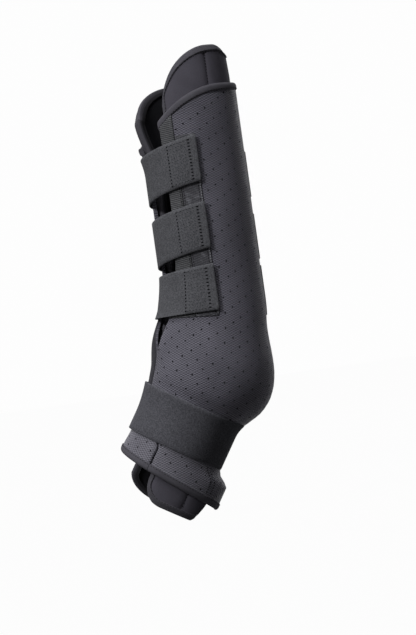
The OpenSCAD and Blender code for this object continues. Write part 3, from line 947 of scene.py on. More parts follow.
class Stitch(Enum):
    """Kinds of stitch: spacing, length and width in mm."""

    SHELL_EDGE = (3.0, 1.7, 0.5)
    LINER_EDGE = (3.0, 1.4, 0.45)
    CHANNEL = (2.7, 1.4, 0.7)
    BACK_SEAM = (2.6, 1.8, 1.0)
    TAPE_EDGE = (3.0, 2.0, 0.8)
    TAPE_PALE = (2.5, 1.7, 1.2)
    STRAP_END = (3.2, 2.3, 0.75)
    BOX_FRONT = (3.0, 1.4, 1.7)
    BOX_BACK = (3.1, 1.2, 2.9)
    BOX_SIDE = (2.9, 1.3, 0.5)
    BOX_INSIDE = (2.6, 1.0, 0.4)
    FETLOCK_END = (2.7, 1.6, 0.9)
    FETLOCK_SIDE = (2.9, 1.3, 0.6)


class Sewing:
    """Stitches that lie on one moving part of the boot."""

    THICKNESS = 0.6
    LOOK = 1.2
    CREASE = 70.0
    TEMPLATE = np.array([
        (x, y * k, z * k if z > 0 else z)
        for x, k in ((-0.5, 0.4), (-0.28, 1.0), (0.28, 1.0), (0.5, 0.4))
        for y, z in ((-0.5, -0.5), (-0.3, 0.5), (0.3, 0.5), (0.5, -0.5))
    ])
    FACES = [
        (4 * r + k, 4 * r + (k + 1) % 4, 4 * r + 4 + (k + 1) % 4, 4 * r + 4 + k)
        for r in range(3)
        for k in range(4)
    ] + [(3, 2, 1, 0), (12, 13, 14, 15)]

    def __init__(self, finish: Finish) -> None:
        """Starts with no stitch."""
        self.work = Workpiece()
        self.finish = finish

    def row(self, path: Array, height: float, stitch: Stitch) -> None:
        """Sews one row.

        Args:
            path: Angles and levels along the row.
            height: Height of the cloth above the skin in mm.
            stitch: Kind of stitch.
        """
        pitch, length, width = stitch.value
        points, run = LEG.at(*path.T, height), run_along(*path.T, height)
        count = int(run[-1] / pitch)
        if count < 1:
            return
        at = (np.arange(count) + 0.5) * run[-1] / count
        wanted = ((points, 0.0), (points, self.LOOK), (points, -self.LOOK), (path, 0.0))
        middle, ahead, behind, place = (
            np.stack([np.interp(at + shift, run, column) for column in table.T], 1)
            for table, shift in wanted
        )
        out = LEG.outward(*place.T, height)
        along = unit(ahead - behind)
        shape = self.TEMPLATE * (np.array([length, width, self.THICKNESS]) * MM)
        scatter(self.work, middle, (along, np.cross(out, along), out), shape, self.FACES)

    def build(self, name: str) -> Piece:
        """Makes one mesh of all the stitches."""
        return self.work.build(name, [self.finish], self.CREASE)


@dataclass
class Perforations:
    """Rows of small holes, each row shifted by half a pitch against the last."""

    pitch: float = 15.2
    row: float = 7.3
    radius: float = 0.92
    sides: int = 8
    depth: float = 1.2
    taper: float = 0.86

    def centres(self) -> Array:
        """Angles and levels of all holes round the leg, before a panel takes its own."""
        k, i = np.meshgrid(np.arange(-20, 40), np.arange(-20, 13), indexing="ij")
        flat = np.stack([(i + 0.5 * (k % 2)) * self.pitch, k * self.row], -1)
        return CLOTH.place(flat.reshape(-1, 2))


@dataclass
class ShellPanel:
    """One perforated panel of the shell, cut flat, holed, and laid on the leg."""

    side: Side
    holes: Perforations = field(default_factory=Perforations)
    flat: float = 0.8
    spacing: float = 5.0
    plain_from: float = -34.0
    plain_low: float = -52.0
    plain_top: float = 56.0
    taped: tuple[float, float, float] = (95.0, 44.0, 222.0)
    # Level below which the shell takes its lighter copy, a painted highlight on the hem.
    hem_cloth: float = -86.0
    edge_clear: float = 3.0
    seam_clear: float = 4.6
    edge_round: float = 1.8
    edge_drop: float = 1.7

    # Finish numbers: pit walls with painted shade, hem with painted highlight, far front with
    # painted shade.
    PIT, HEM, FRONT = 1, 2, 3
    JOIN_POINTS = 28
    EDGE_LINES = (0.35, 0.9, 1.8)

    @property
    def cut(self) -> PanelCut:
        """The panel's cut."""
        return SHELL_CUTS[self.side]

    def lines(self) -> tuple[Curve, Curve, Curve]:
        """Front, top and bottom edges, which run a little way under the bindings."""
        return self.cut.lines(LAYERS.binding - LAYERS.shell_tuck, 0.0)

    def outline(self) -> Array:
        """Angles and levels round the panel, in order."""
        front, top, low = self.lines()
        top_u = self.cut.corner(front, top, EDGES.core_top)
        low_u = self.cut.corner(front, low, EDGES.core_low)
        seam = self.cut.seam
        count = max(8, int(abs(seam - top_u) * self.flat / 3))
        upper = np.linspace(top_u, seam, count)
        lower = np.linspace(seam, low_u, count)
        edge = np.linspace(float(low(low_u)), float(top(top_u)), 130)[1:-1]
        back = np.linspace(float(top(seam)), float(low(seam)), 110)[1:-1]
        return np.concatenate([
            np.stack([upper, top(upper)], 1),
            upright(seam, back),
            np.stack([lower, low(lower)], 1),
            np.stack([front(edge), edge], 1),
        ])

    def margins(self, u: Array, s: Array) -> tuple[Array, Array, Array]:
        """Distances in mm to the front edge, the seam, and the nearer of top and bottom."""
        front, top, low = self.lines()
        sign = -1 if self.side is Side.FAR else 1
        per_degree = LEG.per_degree(u, s)
        return (
            (u - front(s)) * per_degree * sign,
            (self.cut.seam - u) * per_degree * sign,
            np.minimum(top(u) - s, s - low(u)),
        )

    def plain(self, u: Array, s: Array) -> Array:
        """Which places lie on the plain cloth at the far panel's front, above the fetlock strap,
        which is coloured dark as painted shade.
        """
        level = (s > self.plain_low) & (s < self.plain_top)
        return (self.side is Side.FAR) & (u > self.plain_from) & level

    def spots(self) -> Array:
        """Holes that lie well inside the panel and aren't under a tape."""
        all_spots = self.holes.centres()
        u, s = all_spots.T
        front, seam, level = self.margins(u, s)
        free = (front > self.edge_clear) & (seam > self.seam_clear) & (level > self.edge_clear)
        free &= ~self.plain(u + self.edge_clear, s)
        if self.side is Side.BACK:
            free &= front > self.seam_clear
        if self.side is Side.NEAR:
            end, low, top = self.taped
            free &= ~((u < end) & (s > low) & (s < top))
        return all_spots[free]

    def rings(self, spots: Array) -> Array:
        """Angles and levels of the corners of each hole."""
        turn = np.linspace(0, 2 * math.pi, self.holes.sides, endpoint=False)
        steps = LEG.steps(*spots.T, LAYERS.shell_out)
        shift = [
            wave(turn)[None] * self.holes.radius / np.linalg.norm(step, axis=1)[:, None]
            for wave, step in zip((np.cos, np.sin), steps)
        ]
        return spots[:, None] + np.stack(shift, -1)

    def filling(self, spots: Array) -> Array:
        """Points between the holes and the outline that carry the panel's curve.

        Args:
            spots: Middles of the holes.

        Returns:
            Angles and levels.
        """
        step = self.spacing
        s = np.arange(-130.0, 270.0, step * 0.866)
        u = np.arange(-150.0, 216.0, step / self.flat)
        grid_u, grid_s = np.meshgrid(u, s)
        grid_u[1::2] += step / self.flat / 2
        pts = np.stack([grid_u.ravel(), grid_s.ravel()], 1)
        front, seam, level = self.margins(*pts.T)
        pts = pts[(front > 3.2) & (seam > 1.5) & (level > 1.5)]
        if self.side is not Side.BACK:
            edge = np.linspace(-108.0, 226.0, 130)
            front = self.cut.front(edge)
            per_degree = LEG.per_degree(front, edge)
            extra = np.concatenate([
                np.stack([front + self.side.value * off / per_degree, edge], 1)
                for off in self.EDGE_LINES
            ])
            level = self.margins(*extra.T)[2]
            pts = np.concatenate([pts, extra[level > 1.0]])
        apart = (pts[:, None] - spots[None]) * np.array([self.flat, 1.0])
        return pts[np.linalg.norm(apart, axis=2).min(1) > 2.0]

    def height(self, u: Array, s: Array) -> Array:
        """Height of the outer face: rounded at the free edge and drawn in at the seam."""
        front, seam, _ = self.margins(u, s)
        high = LAYERS.shell_out + settle(u, s) - strap_press(u, s) + strap_swell(u, s)
        if self.side is Side.BACK:
            seam = np.minimum(seam, front)
        else:
            share = np.clip(front, 0, self.edge_round) / self.edge_round
            high = high - self.edge_drop * round_off(1 - share)
        return high - 0.35 * np.exp(-((seam / 1.2) ** 2))

    def net(self, outline: Array, rings: Array, loose: Array,
            join: Array) -> tuple[Array, Array, dict[int, int]]:
        """Triangles between the outline, the holes and the loose places.

        Args:
            outline: Places round the panel.
            rings: Places round each hole.
            loose: Places between them.
            join: Places along the edge of the plain cloth.

        Returns:
            Places of the points, the triangles, and the number that each given place has there.
        """
        squash = np.array([self.flat, 1.0])
        n, (holes, sides) = len(outline), rings.shape[:2]
        end = n + holes * sides
        flat = np.concatenate([outline, rings.reshape(-1, 2), loose, join]) * squash
        edges = [(k, (k + 1) % n) for k in range(n)]
        edges += [(k, k + 1) for k in range(len(flat) - len(join), len(flat) - 1)]
        for start in range(n, end, sides):
            edges += [(start + k, start + (k + 1) % sides) for k in range(sides)]
        corners = [Vector(p) for p in flat.tolist()]
        points, _, faces, origin, _, _ = delaunay_2d_cdt(corners, edges, [], 0, 1e-6)
        number = {old: new for new, group in enumerate(origin) for old in group}
        places = np.array([(p.x, p.y) for p in points]) / squash
        owner = np.array([min(group, default=-1) for group in origin])
        hole = np.where((owner >= n) & (owner < end), (owner - n) // sides, -1)
        tri = np.array([f for f in faces if len(f) == 3])
        a, b, c = hole[tri].T
        in_hole = (a >= 0) & (a == b) & (a == c)
        kept = self.inside(places[tri].mean(1) * squash, flat[:n]) & ~in_hole
        return places, tri[kept], number

    def build(self) -> Piece:
        """Cuts, holes and lays the panel."""
        outline, spots = self.outline(), self.spots()
        rings = self.rings(spots)
        count = self.JOIN_POINTS if self.side is Side.FAR else 0
        join = upright(self.plain_from, np.linspace(self.plain_low, self.plain_top, count))
        places, tri, number = self.net(outline, rings, self.filling(spots), join)
        u, s = places.T
        high = self.height(u, s)
        cloth = CLOTH.cut(places) if self.side is Side.NEAR else CLOTH.lay(places)
        work = Workpiece()
        level = s[tri].mean(1)
        # Faces below that level take the lighter shell cloth, a painted highlight on the hem.
        hem, plain = level < self.hem_cloth, self.plain(u[tri].mean(1), level)
        a = work.add(LEG.at(u, s, high), cloth, [tuple(t) for t in tri[~hem & ~plain]])
        # The plain front cloth is dark as painted shade of the gap under the near edge.
        for part, finish in ((hem, self.HEM), (plain, self.FRONT)):
            work.join([tuple(a + k for k in t) for t in tri[part]], finish)
        inner = LEG.at(u, s, LAYERS.shell_in + 0.05)
        b = work.add(inner, cloth, [tuple(t[::-1]) for t in tri])
        border = [number[k] for k in range(len(outline))]
        pairs = zip(border, border[1:] + border[:1])
        work.join([(a + p, a + q, b + q, b + p) for p, q in pairs])
        sides = self.holes.sides
        turns = [(k, (k + 1) % sides) for k in range(sides)]
        for i, spot in enumerate(spots):
            ring = [number[len(outline) + i * sides + k] for k in range(sides)]
            pit = spot + (rings[i] - spot) * self.holes.taper
            # The pit's walls and floor take the dark cloth, painted shade of the hole.
            deep = LEG.at(*pit.T, high[ring] - self.holes.depth)
            c = work.add(deep, cloth[ring], [tuple(range(sides))], self.PIT)
            work.join([(a + ring[k], a + ring[m], c + m, c + k) for k, m in turns], self.PIT)
            work.join([tuple(b + r for r in ring)])
        finishes = [SHELL_CLOTH, PIT_SHADE_CLOTH, HEM_HIGHLIGHT_CLOTH, SHADED_FRONT_CLOTH]
        obj = work.build(f"{self.side.word}_perforated_shell", finishes)
        return fasten(obj, self.side, f"{self.side.word}_shell")

    @staticmethod
    def inside(points: Array, loop: Array) -> Array:
        """Which points lie inside a closed loop."""
        after = np.roll(loop, -1, 0)
        x, y = points[:, :1], points[:, 1:2]
        (ax, ay), (bx, by) = loop.T[:, None], after.T[:, None]
        with np.errstate(divide="ignore", invalid="ignore"):
            cross = ax + (y - ay) / (by - ay) * (bx - ax)
        return (((ay > y) != (by > y)) & (x < cross)).sum(1) % 2 == 1


@dataclass
class LinerPanel:
    """One quilted panel of the liner: foam between its cover and the lining."""

    side: Side
    dip: float = 1.2
    swell: float = 2.2

    COLUMNS = {Side.NEAR: 18, Side.BACK: 17, Side.FAR: 26}
    ROW = 7.0
    PRESSURE = 4.0
    FRAMES = 20

    def grid(self) -> Array:
        """Angles and levels of the panel, which runs a little way into its binding."""
        inset = LAYERS.binding - LAYERS.pad_tuck
        return LINER_CUTS[self.side].grid(inset, inset, self.COLUMNS[self.side], self.ROW)

    def heights(self, grid: Array) -> tuple[Array, Array]:
        """Inner and outer heights: sewn in along the channel and drawn in round the edge."""
        u = grid[..., 0]
        rows, cols = u.shape
        off = np.abs(off_front(u) - EDGES.channel)
        free = self.side is not Side.BACK
        sewn = np.clip(1 - off / 8.0, 0, 1) ** 2 if free else np.zeros_like(u)
        i, j = np.meshgrid(np.arange(rows), np.arange(cols), indexing="ij")
        near = np.minimum(i, rows - 1 - i)
        if free:
            near = np.minimum(near, j)
        edge = np.clip(1 - near / 2.0, 0, 1)
        return 0.1 + 0.5 * sewn + 0.5 * edge, LAYERS.pad_out - self.dip * sewn - 0.8 * edge

    def bare(self, grid: Array) -> Array:
        """How far each point is out from under the shell, 0 to 1."""
        u, s = grid[..., 0], grid[..., 1]
        above = ease((s - EDGES.shell_top(u) - 1.0) / 8.0)
        below = ease((EDGES.shell_hem(u) - 1.0 - s) / 6.0)
        return np.maximum(above, below)

    def stuff(self, obj: Piece, grid: Array) -> None:
        """Lets the foam press the bare cloth out with a short cloth simulation, capped and applied.

        Args:
            obj: The panel's mesh object.
            grid: Angles and levels of the panel.
        """
        start = np.zeros(len(obj.data.vertices) * 3)
        obj.data.vertices.foreach_get("co", start)
        start = start.reshape(-1, 3)
        free = self.bare(grid)
        off = np.abs(off_front(grid[..., 0]) - EDGES.channel)
        if self.side is not Side.BACK:
            free = free * ease((off - 0.8) / 9.0)
        free[[0, -1]] = 0
        free[:, [0, -1]] = 0
        free = np.concatenate([free.ravel(), free.ravel()])
        group = obj.vertex_groups.new(name="held")
        for k in np.flatnonzero(free < 0.05):
            group.add([int(k)], 1.0, "REPLACE")
        cloth = obj.modifiers.new("stuffing", "CLOTH")
        cloth.settings.vertex_group_mass = "held"
        cloth.settings.use_pressure = True
        cloth.settings.uniform_pressure_force = self.PRESSURE
        cloth.settings.effector_weights.gravity = 0.0
        cloth.settings.quality = 5
        scene = bpy.context.scene
        for step in range(1, self.FRAMES + 1):
            scene.frame_set(step)
        shaped = obj.evaluated_get(bpy.context.evaluated_depsgraph_get())
        done = np.zeros(len(start) * 3)
        shaped.data.vertices.foreach_get("co", done)
        scene.frame_set(1)
        obj.modifiers.remove(cloth)
        obj.vertex_groups.clear()
        move = (done.reshape(-1, 3) - start) * free[:, None]
        length = np.linalg.norm(move, axis=1, keepdims=True)
        move *= np.minimum(1.0, self.swell * MM / np.maximum(length, 1e-9))
        obj.data.vertices.foreach_set("co", (start + move).ravel())
        obj.data.update()

    def build(self) -> Piece:
        """Makes the panel and stuffs it."""
        grid = self.grid()
        inner, outer = self.heights(grid)
        work = Workpiece()
        slab(work, grid, inner, outer, CLOTH.lay(grid), (0, 1))
        word = self.side.word
        obj = work.build(f"{word}_quilted_liner", [COVER_CLOTH, LINING_CLOTH])
        self.stuff(obj, grid)
        return fasten(obj, self.side, f"{word}_pad", f"{word}_lining")


@dataclass
class Bead:
    """A tape folded over an edge, rounded along the fold."""

    outer: Array
    inner: Array
    low: float
    high: float
    fold: float = 0.5
    pinch: float = 1.0
    dark_inside: bool = False

    CREASE = 60.0
    TIP = ((0.9, 0.8), (1.4, 0.35))
    FLAT_PART = ((0.72, 1.0), (0.9, 0.97), (1.0, 0.86))
    PUCKER = (0.1, 4.6)

    def section(self) -> Array:
        """Share across the tape and share of its thickness, round the section."""
        turn = np.radians(np.linspace(-90.0, 90.0, 11))
        bow = [
            (self.fold * (1 - math.cos(t)), 0.5 + 0.5 * self.pinch * math.sin(t)) for t in turn
        ]
        under = [(q, 1 - h) for q, h in self.FLAT_PART[::-1]]
        return np.array([*under, *bow, *self.FLAT_PART])

    def tones(self, count: int) -> list[int]:
        """Number of the finish on each strip round the section; with painted shade inside, the
        inner strips and the turn take darker copies of the binding cloth.
        """
        if not self.dark_inside:
            return [0] * count
        return [2] * 3 + [1] * 4 + [0] * (count - 8) + [2]

    def tip(self, lines: Array, heights: Array) -> tuple[Array, Array]:
        """Puts two rows before the first one, which round off that end.

        Args:
            lines: Angles and levels of the sections.
            heights: Heights of the sections.

        Returns:
            Both with the new rows.
        """
        end, half = lines[0], (self.low + self.high) / 2
        middle, step = end.mean(0), (end - lines[1]).mean(0)
        size = np.linalg.norm(LEG.at(*middle, half) - LEG.at(*(middle + step), half)) / MM
        for ahead, share in self.TIP:
            spot = mix(lines[0].mean(0), end, 0.5 + share / 2) + step / max(size, 1e-6) * ahead
            level = mix(half, heights[0], share)
            lines = np.concatenate([spot[None], lines])
            heights = np.concatenate([level[None], heights])
        return lines, heights

    def add_to(self, work: Workpiece, tip: bool) -> None:
        """Adds the bead to a piece.

        Args:
            work: The piece.
            tip: Whether its first end is rounded off.
        """
        q, h = self.section().T
        lines = mix(self.outer[:, None], self.inner[:, None], q[None, :, None])
        run = run_along(*self.outer.T, self.high)
        size, pitch = self.PUCKER
        pucker = size * np.sin(run / pitch * 2 * math.pi)[:, None]
        pucker = pucker * np.exp(-(((q - 0.85) / 0.2) ** 2))[None]
        heights = mix(self.low, self.high, h)[None] + pucker * np.sign(h - 0.5)[None]
        if tip:
            lines, heights = self.tip(lines, heights)
        count, m = lines.shape[:2]
        cloth = np.stack(np.broadcast_arrays(np.arange(count)[:, None] * 3.0, (q * 9.0)[None]), -1)
        caps = [tuple(range(m)), tuple((count - 1) * m + k for k in range(m))]
        start = work.add(LEG.at(lines[..., 0], lines[..., 1], heights), cloth, caps)
        rows = [start + i * m for i in range(count - 1)]
        for k, tone in enumerate(self.tones(m)):
            after = (k + 1) % m
            work.join([(i + k, i + after, i + m + after, i + m + k) for i in rows], tone)


@dataclass
class Bindings:
    """Bound edges of one strip of the wrap: shell top, shell hem and the liner's rim."""

    side: Side

    COLUMNS = {Side.NEAR: 30, Side.BACK: 25, Side.FAR: 44}
    ROW = 5.0
    ENDS = ((0, "top"), (-1, "hem"))
    SEWN_AT = 0.84

    def grids(self, cut: PanelCut, bound_front: bool) -> tuple[Array, Array]:
        """Fine grids of a panel at its edge and one binding's width in."""
        count, width = self.COLUMNS[self.side], LAYERS.binding
        inner = cut.grid(width, width if bound_front else 0.0, count, self.ROW)
        return cut.grid(0.0, 0.0, count, self.ROW), inner

    def bind(self, name: str, lines: Sequence[Array], shell: bool, node: str,
             thread: Sewing) -> Piece:
        """Makes one bound edge and sews it.

        Args:
            name: The piece's name.
            lines: Angles and levels along the fold and along the inner edge.
            shell: Whether it binds the shell. The liner's tape is pinched, and has painted shade on
                its inside and turn.
            node: The node that it stands for.
            thread: Takes the stitches.

        Returns:
            The piece.
        """
        if shell:
            bead = Bead(*lines, LAYERS.shell_in, LAYERS.shell_out + LAYERS.proud)
            finishes, stitch, sunk = [BINDING_CLOTH], Stitch.SHELL_EDGE, 0.05
        else:
            # The liner's binding takes painted shade on its inner strips and its turn.
            bead = Bead(*lines, -LAYERS.inner_proud, LAYERS.pad_out, 0.42, 0.6, True)
            finishes = [BINDING_CLOTH, BINDING_TURN_SHADE, BINDING_INSIDE_SHADE]
            stitch, sunk = Stitch.LINER_EDGE, 0.1
        work = Workpiece()
        bead.add_to(work, shell and self.side is Side.NEAR)
        obj = work.build(name, finishes, Bead.CREASE)
        thread.row(mix(*lines, self.SEWN_AT), bead.high - sunk, stitch)
        return fasten(obj, self.side, node)

    def build(self, thread: Sewing) -> list[Piece]:
        """Makes the strip's bindings and sews them.

        Args:
            thread: Takes the stitches.

        Returns:
            The pieces.
        """
        word = self.side.word
        shell = self.grids(SHELL_CUTS[self.side], False)
        liner = self.grids(LINER_CUTS[self.side], True)
        edges = [
            (f"{word}_shell_{part}_edge", [g[end] for g in shell], True, f"{word}_{part}_binding")
            for end, part in self.ENDS
        ]
        if self.side is Side.BACK:
            edges += [
                (f"{word}_liner_{part}_edge", [g[end] for g in liner], False,
                 f"{word}_liner_{part}_binding")
                for end, part in self.ENDS
            ]
        else:
            ring = [np.concatenate([g[0][::-1], g[1:-1, 0], g[-1]]) for g in liner]
            edges.append((f"{word}_liner_edge", ring, False, f"{word}_liner_binding"))
        return [self.bind(*edge, thread) for edge in edges]


def band_grid(u: Array, middle: Array, width: float) -> tuple[Array, Array]:
    """Angles and levels of a strip of webbing, and the distance of each point from its middle line.

    Args:
        u: Angles of the columns.
        middle: Level of the middle line at each column.
        width: Width in mm.

    Returns:
        The grid, and offsets from the middle in mm.
    """
    inner = np.linspace(width / 2 - 0.5, -width / 2 + 0.5, BAND_ROWS)
    across = np.concatenate([[width / 2], inner, [-width / 2]])[:, None]
    grid = np.stack(np.broadcast_arrays(u[None], middle[None] + across), -1)
    return grid, np.broadcast_to(across, grid.shape[:2])


@dataclass
class Strip:
    """A flat length of tape or webbing laid round the leg."""

    name: str
    finish: Finish
    slot: Slot
    start: float
    end: float
    middle: Curve
    inner: Curve
    width: float
    thickness: float
    cut_ends: tuple[bool, bool] = (True, True)

    CREASE = 60.0
    STEP = 1.7

    def build(self) -> Piece:
        """Makes the strip, with soft selvedges and cut ends."""
        count = max(6, int(abs(self.end - self.start) / self.STEP))
        u = np.linspace(self.start, self.end, count)
        lead = 0.5 * np.sign(self.end - self.start)
        u = np.concatenate([[self.start, self.start + lead], u[1:-1], [self.end - lead, self.end]])
        grid, across = band_grid(u, self.middle(u), self.width)
        inner = np.broadcast_to(self.inner(u)[None], across.shape)
        outer = inner + self.thickness
        outer = outer - 0.35 * self.thickness * (np.abs(across) > self.width / 2 - 0.1)
        for column, cut in zip((0, -1), self.cut_ends):
            if cut:
                outer[:, column] -= 0.3 * self.thickness
        run = run_along(u, self.middle(u), self.inner(u))
        cloth = np.stack(np.broadcast_arrays(run[None], across), -1)
        work = Workpiece()
        slab(work, grid, inner, outer, cloth)
        obj = work.build(self.name, [self.finish], self.CREASE)
        return obj

    def fold_points(self, u: float, back: float, ahead: float) -> tuple[tuple, tuple]:
        """Two points either side of a fold, along the strip.

        Args:
            u: Angle of the fold.
            back: Millimetres before it.
            ahead: Millimetres after it.

        Returns:
            The two points in metres.
        """
        sign = math.copysign(1.0, self.end - self.start)
        s, d = self.middle(np.array(u)), self.inner(np.array(u))
        here = LEG.at(u, s, d)
        along = unit(LEG.at(u + sign, s, d) - LEG.at(u - sign, s, d))
        return tuple(here - along * back * MM), tuple(here + along * ahead * MM)


@dataclass
class HookPad:
    """Hook tape under a tab: a thin backing with rows of tiny hooks."""

    strip: Strip
    spacing: float = 1.7

    CREASE = 30.0
    PER_DEGREE = 0.8
    HOOK = np.array([
        (-0.4, -0.4, 0.1), (0.4, -0.4, 0.1), (0.4, 0.4, 0.1), (-0.4, 0.4, 0.1),
        (-0.05, -0.2, -0.3), (0.3, -0.2, -0.3), (0.3, 0.2, -0.3), (-0.05, 0.2, -0.3),
    ])
    FACES = [(0, 1, 5, 4), (1, 2, 6, 5), (2, 3, 7, 6), (3, 0, 4, 7), (4, 5, 6, 7), (3, 2, 1, 0)]

    def build(self) -> Piece:
        """Makes the backing and its hooks in one piece."""
        tape = self.strip
        count = int(abs(tape.end - tape.start) * self.PER_DEGREE / self.spacing)
        u = np.linspace(tape.start, tape.end, count + 2)[1:-1]
        reach = tape.width / 2 - 1
        across = np.linspace(-reach, reach, int(tape.width / self.spacing))
        u, w = (side.ravel() for side in np.meshgrid(u, across))
        level, foot = tape.middle(u) + w, tape.inner(u)
        axes = [*(unit(step) for step in LEG.steps(u, level, foot)), LEG.outward(u, level, foot)]
        hooks = Workpiece()
        scatter(hooks, LEG.at(u, level, foot + CLEAR), axes, self.HOOK * MM, self.FACES)
        obj = tape.build()
        extra = hooks.build(f"{tape.name}_hooks", [tape.finish], self.CREASE)
        with bpy.context.temp_override(active_object=obj, selected_editable_objects=[obj, extra]):
            bpy.ops.object.join()
        return obj


@dataclass
class ElasticStrap:
    """An elastic strap: sewn on at one end, folded over the front, closed with a hook tape tab."""

    stem: str
    short: str
    tab_body: str
    level: float
    rise: float
    home: str
    finish: Webbing
    width: float
    sewn: float
    home_fold: float
    joint: float
    tab_fold: float
    tab_end: float
    cut_at_home: bool

    SELVEDGE = 3.2

    @property
    def way(self) -> float:
        """1 if the strap closes on the fastening side, -1 if on the other."""
        return math.copysign(1.0, self.tab_end)

    @property
    def tab_top(self) -> float:
        """Height on which the stitches of the tab lie."""
        return LAYERS.tab_in + LAYERS.strap + 0.02

    def middle(self, u: Array) -> Array:
        """Level of the strap's middle line."""
        return self.level + self.rise * ease((np.asarray(u, float) + 40.0) / 160.0)

    def climb(self, u: Array) -> Array:
        """Height of the strap's inner face, which rises to the hook tape's height."""
        t = (np.asarray(u, float) - self.home_fold) / (self.tab_fold - self.home_fold)
        return mix(LAYERS.tape_in, LAYERS.tab_in, ease(t)) - strap_press(u, self.level)

    def across(self, u: float, margin: float) -> Array:
        """Places across the strap at an angle, short of its selvedges by a margin."""
        reach = self.width / 2 - margin
        return upright(u, self.middle(u) + np.linspace(reach, -reach, 24))

    def lengthwise(self, u: Array, off: float) -> Array:
        """Places along the strap, at a distance from its middle line."""
        return np.stack([u, self.middle(u) + off], 1)

    def strip(self, name: str, start: float, end: float, cut_ends: tuple[bool, bool]) -> Strip:
        """A length of the strap's webbing between two angles."""
        return Strip(name, self.finish, Slot.ELASTIC, start, end, self.middle, self.climb,
                     self.width, LAYERS.strap, cut_ends)

    def webbing(self) -> list[Piece]:
        """Makes the strap, its tab and the hook tape under the tab."""
        band = self.strip(f"{self.stem}_elastic", self.sewn, self.joint, (self.cut_at_home, False))
        tab = self.strip(f"{self.short}_pull_tab", self.joint, self.tab_end, (False, True))
        long, short = band.build(), tab.build()
        self.home
        self.stem
        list(band.fold_points(self.home_fold, 3.0, 3.0))
        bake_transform(long)
        self.stem
        self.tab_body
        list(tab.fold_points(self.tab_fold, 2.0, 3.0))
        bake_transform(short)
        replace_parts(long, f"{self.stem}_anchor", f"{self.stem}_band")
        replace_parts(short, f"{self.stem}_tab")
        start, end = self.tab_fold + 8 * self.way, self.tab_end - 3 * self.way
        tape = Strip(f"{self.short}_hook_tape", HOOK_PILE, Slot.HOOK, start, end, self.middle,
                     steady(LAYERS.hook_in), self.width - 6, LAYERS.tape)
        hook = HookPad(tape).build()
        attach(hook, self.tab_body)
        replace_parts(hook, f"{self.short}_hook_pad")
        return [long, short, hook]


@dataclass
class CannonStrap(ElasticStrap):
    """A strap round the cannon, sewn on behind and closed on the fastening side."""

    home: str = "far_half"
    finish: Webbing = STRAP_ELASTIC
    width: float = 44.0
    sewn: float = -168.0
    home_fold: float = -52.0
    joint: float = 49.5
    tab_fold: float = 54.0
    tab_end: float = 93.0
    cut_at_home: bool = True

    def sew_box(self) -> Sewing:
        """The box of stitches on the tab, with the close rows in it that hold the hook tape."""
        thread, top, half = Sewing(DARK_THREAD), self.tab_top, self.width / 2
        left, right = self.tab_fold + 6.0, self.tab_end - 8.6
        thread.row(self.across(left, 1.6), top, Stitch.BOX_FRONT)
        thread.row(self.across(right, 1.8), top, Stitch.BOX_BACK)
        u = np.linspace(left, right, 20)
        for off in (half - self.SELVEDGE, self.SELVEDGE - half):
            thread.row(self.lengthwise(u, off), top, Stitch.BOX_SIDE)
        u = np.linspace(left + 2.5, right - 3.0, 20)
        for off in np.arange(-half + 6.4, half - 5.0, 3.1):
            thread.row(self.lengthwise(u, off), top - 0.05, Stitch.BOX_INSIDE)
        return thread

    def sew_end(self) -> Sewing:
        """Two rows of stitches at the sewn end."""
        thread = Sewing(DARK_THREAD)
        for u in (self.sewn + 2.5, self.sewn + 12.0):
            thread.row(self.across(u, 3.0), LAYERS.tape_in + LAYERS.strap, Stitch.STRAP_END)
        return thread

    def build(self) -> list[Piece]:
        """Makes the strap with its tab, the hook tape and the stitches at both ends."""
        made = self.webbing()
        box = self.sew_box().build(f"{self.short}_box_stitching")
        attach(box, self.tab_body)
        end = self.sew_end().build(f"{self.short}_sewn_end_stitching")
        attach(end, self.home)
        return [*made, box, end]


@dataclass
class FetlockStrap(ElasticStrap):
    """The wide strap round the pastern, sewn on behind and closed on the far side."""

    stem: str = "fetlock_strap"
    short: str = "fetlock"
    tab_body: str = "fetlock_tab"
    level: float = FETLOCK_LEVEL
    rise: float = 0.0
    home: str = "near_half"
    finish: Webbing = FETLOCK_ELASTIC
    width: float = 47.0
    sewn: float = 145.0
    home_fold: float = 36.0
    joint: float = -41.5
    tab_fold: float = -46.0
    tab_end: float = -108.0
    cut_at_home: bool = False
    back_end: float = 176.0

    def sew_box(self) -> Sewing:
        """The box of stitches on the tab."""
        thread, half = Sewing(DARK_THREAD), self.width / 2
        left, right = self.tab_fold - 10, self.tab_end + 4
        for u in (left, right):
            thread.row(self.across(u, 1.6), self.tab_top, Stitch.FETLOCK_END)
        for off in (half - self.SELVEDGE, self.SELVEDGE - half):
            path = self.lengthwise(np.linspace(left, right, 30), off)
            thread.row(path, self.tab_top, Stitch.FETLOCK_SIDE)
        return thread

    def build(self) -> list[Piece]:
        """Makes the strap with its tab, both tapes, the stitches and the end behind."""
        made = self.webbing()
        tape = Strip("fetlock_loop_tape", LOOP_PILE, Slot.LOOP, self.tab_fold - 4, self.tab_end - 3,
                     self.middle, steady(LAYERS.shell_out + CLEAR), self.width - 3, 1.1)
        loop = tape.build()
        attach(loop, "far_half")
        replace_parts(loop, "fetlock_landing_patch")
        box = self.sew_box().build("fetlock_box_stitching")
        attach(box, self.tab_body)
        tail = self.strip("fetlock_strap_back_end", self.sewn, self.back_end, (False, True)).build()
        return [*made, loop, box, fasten(tail, Side.BACK)]


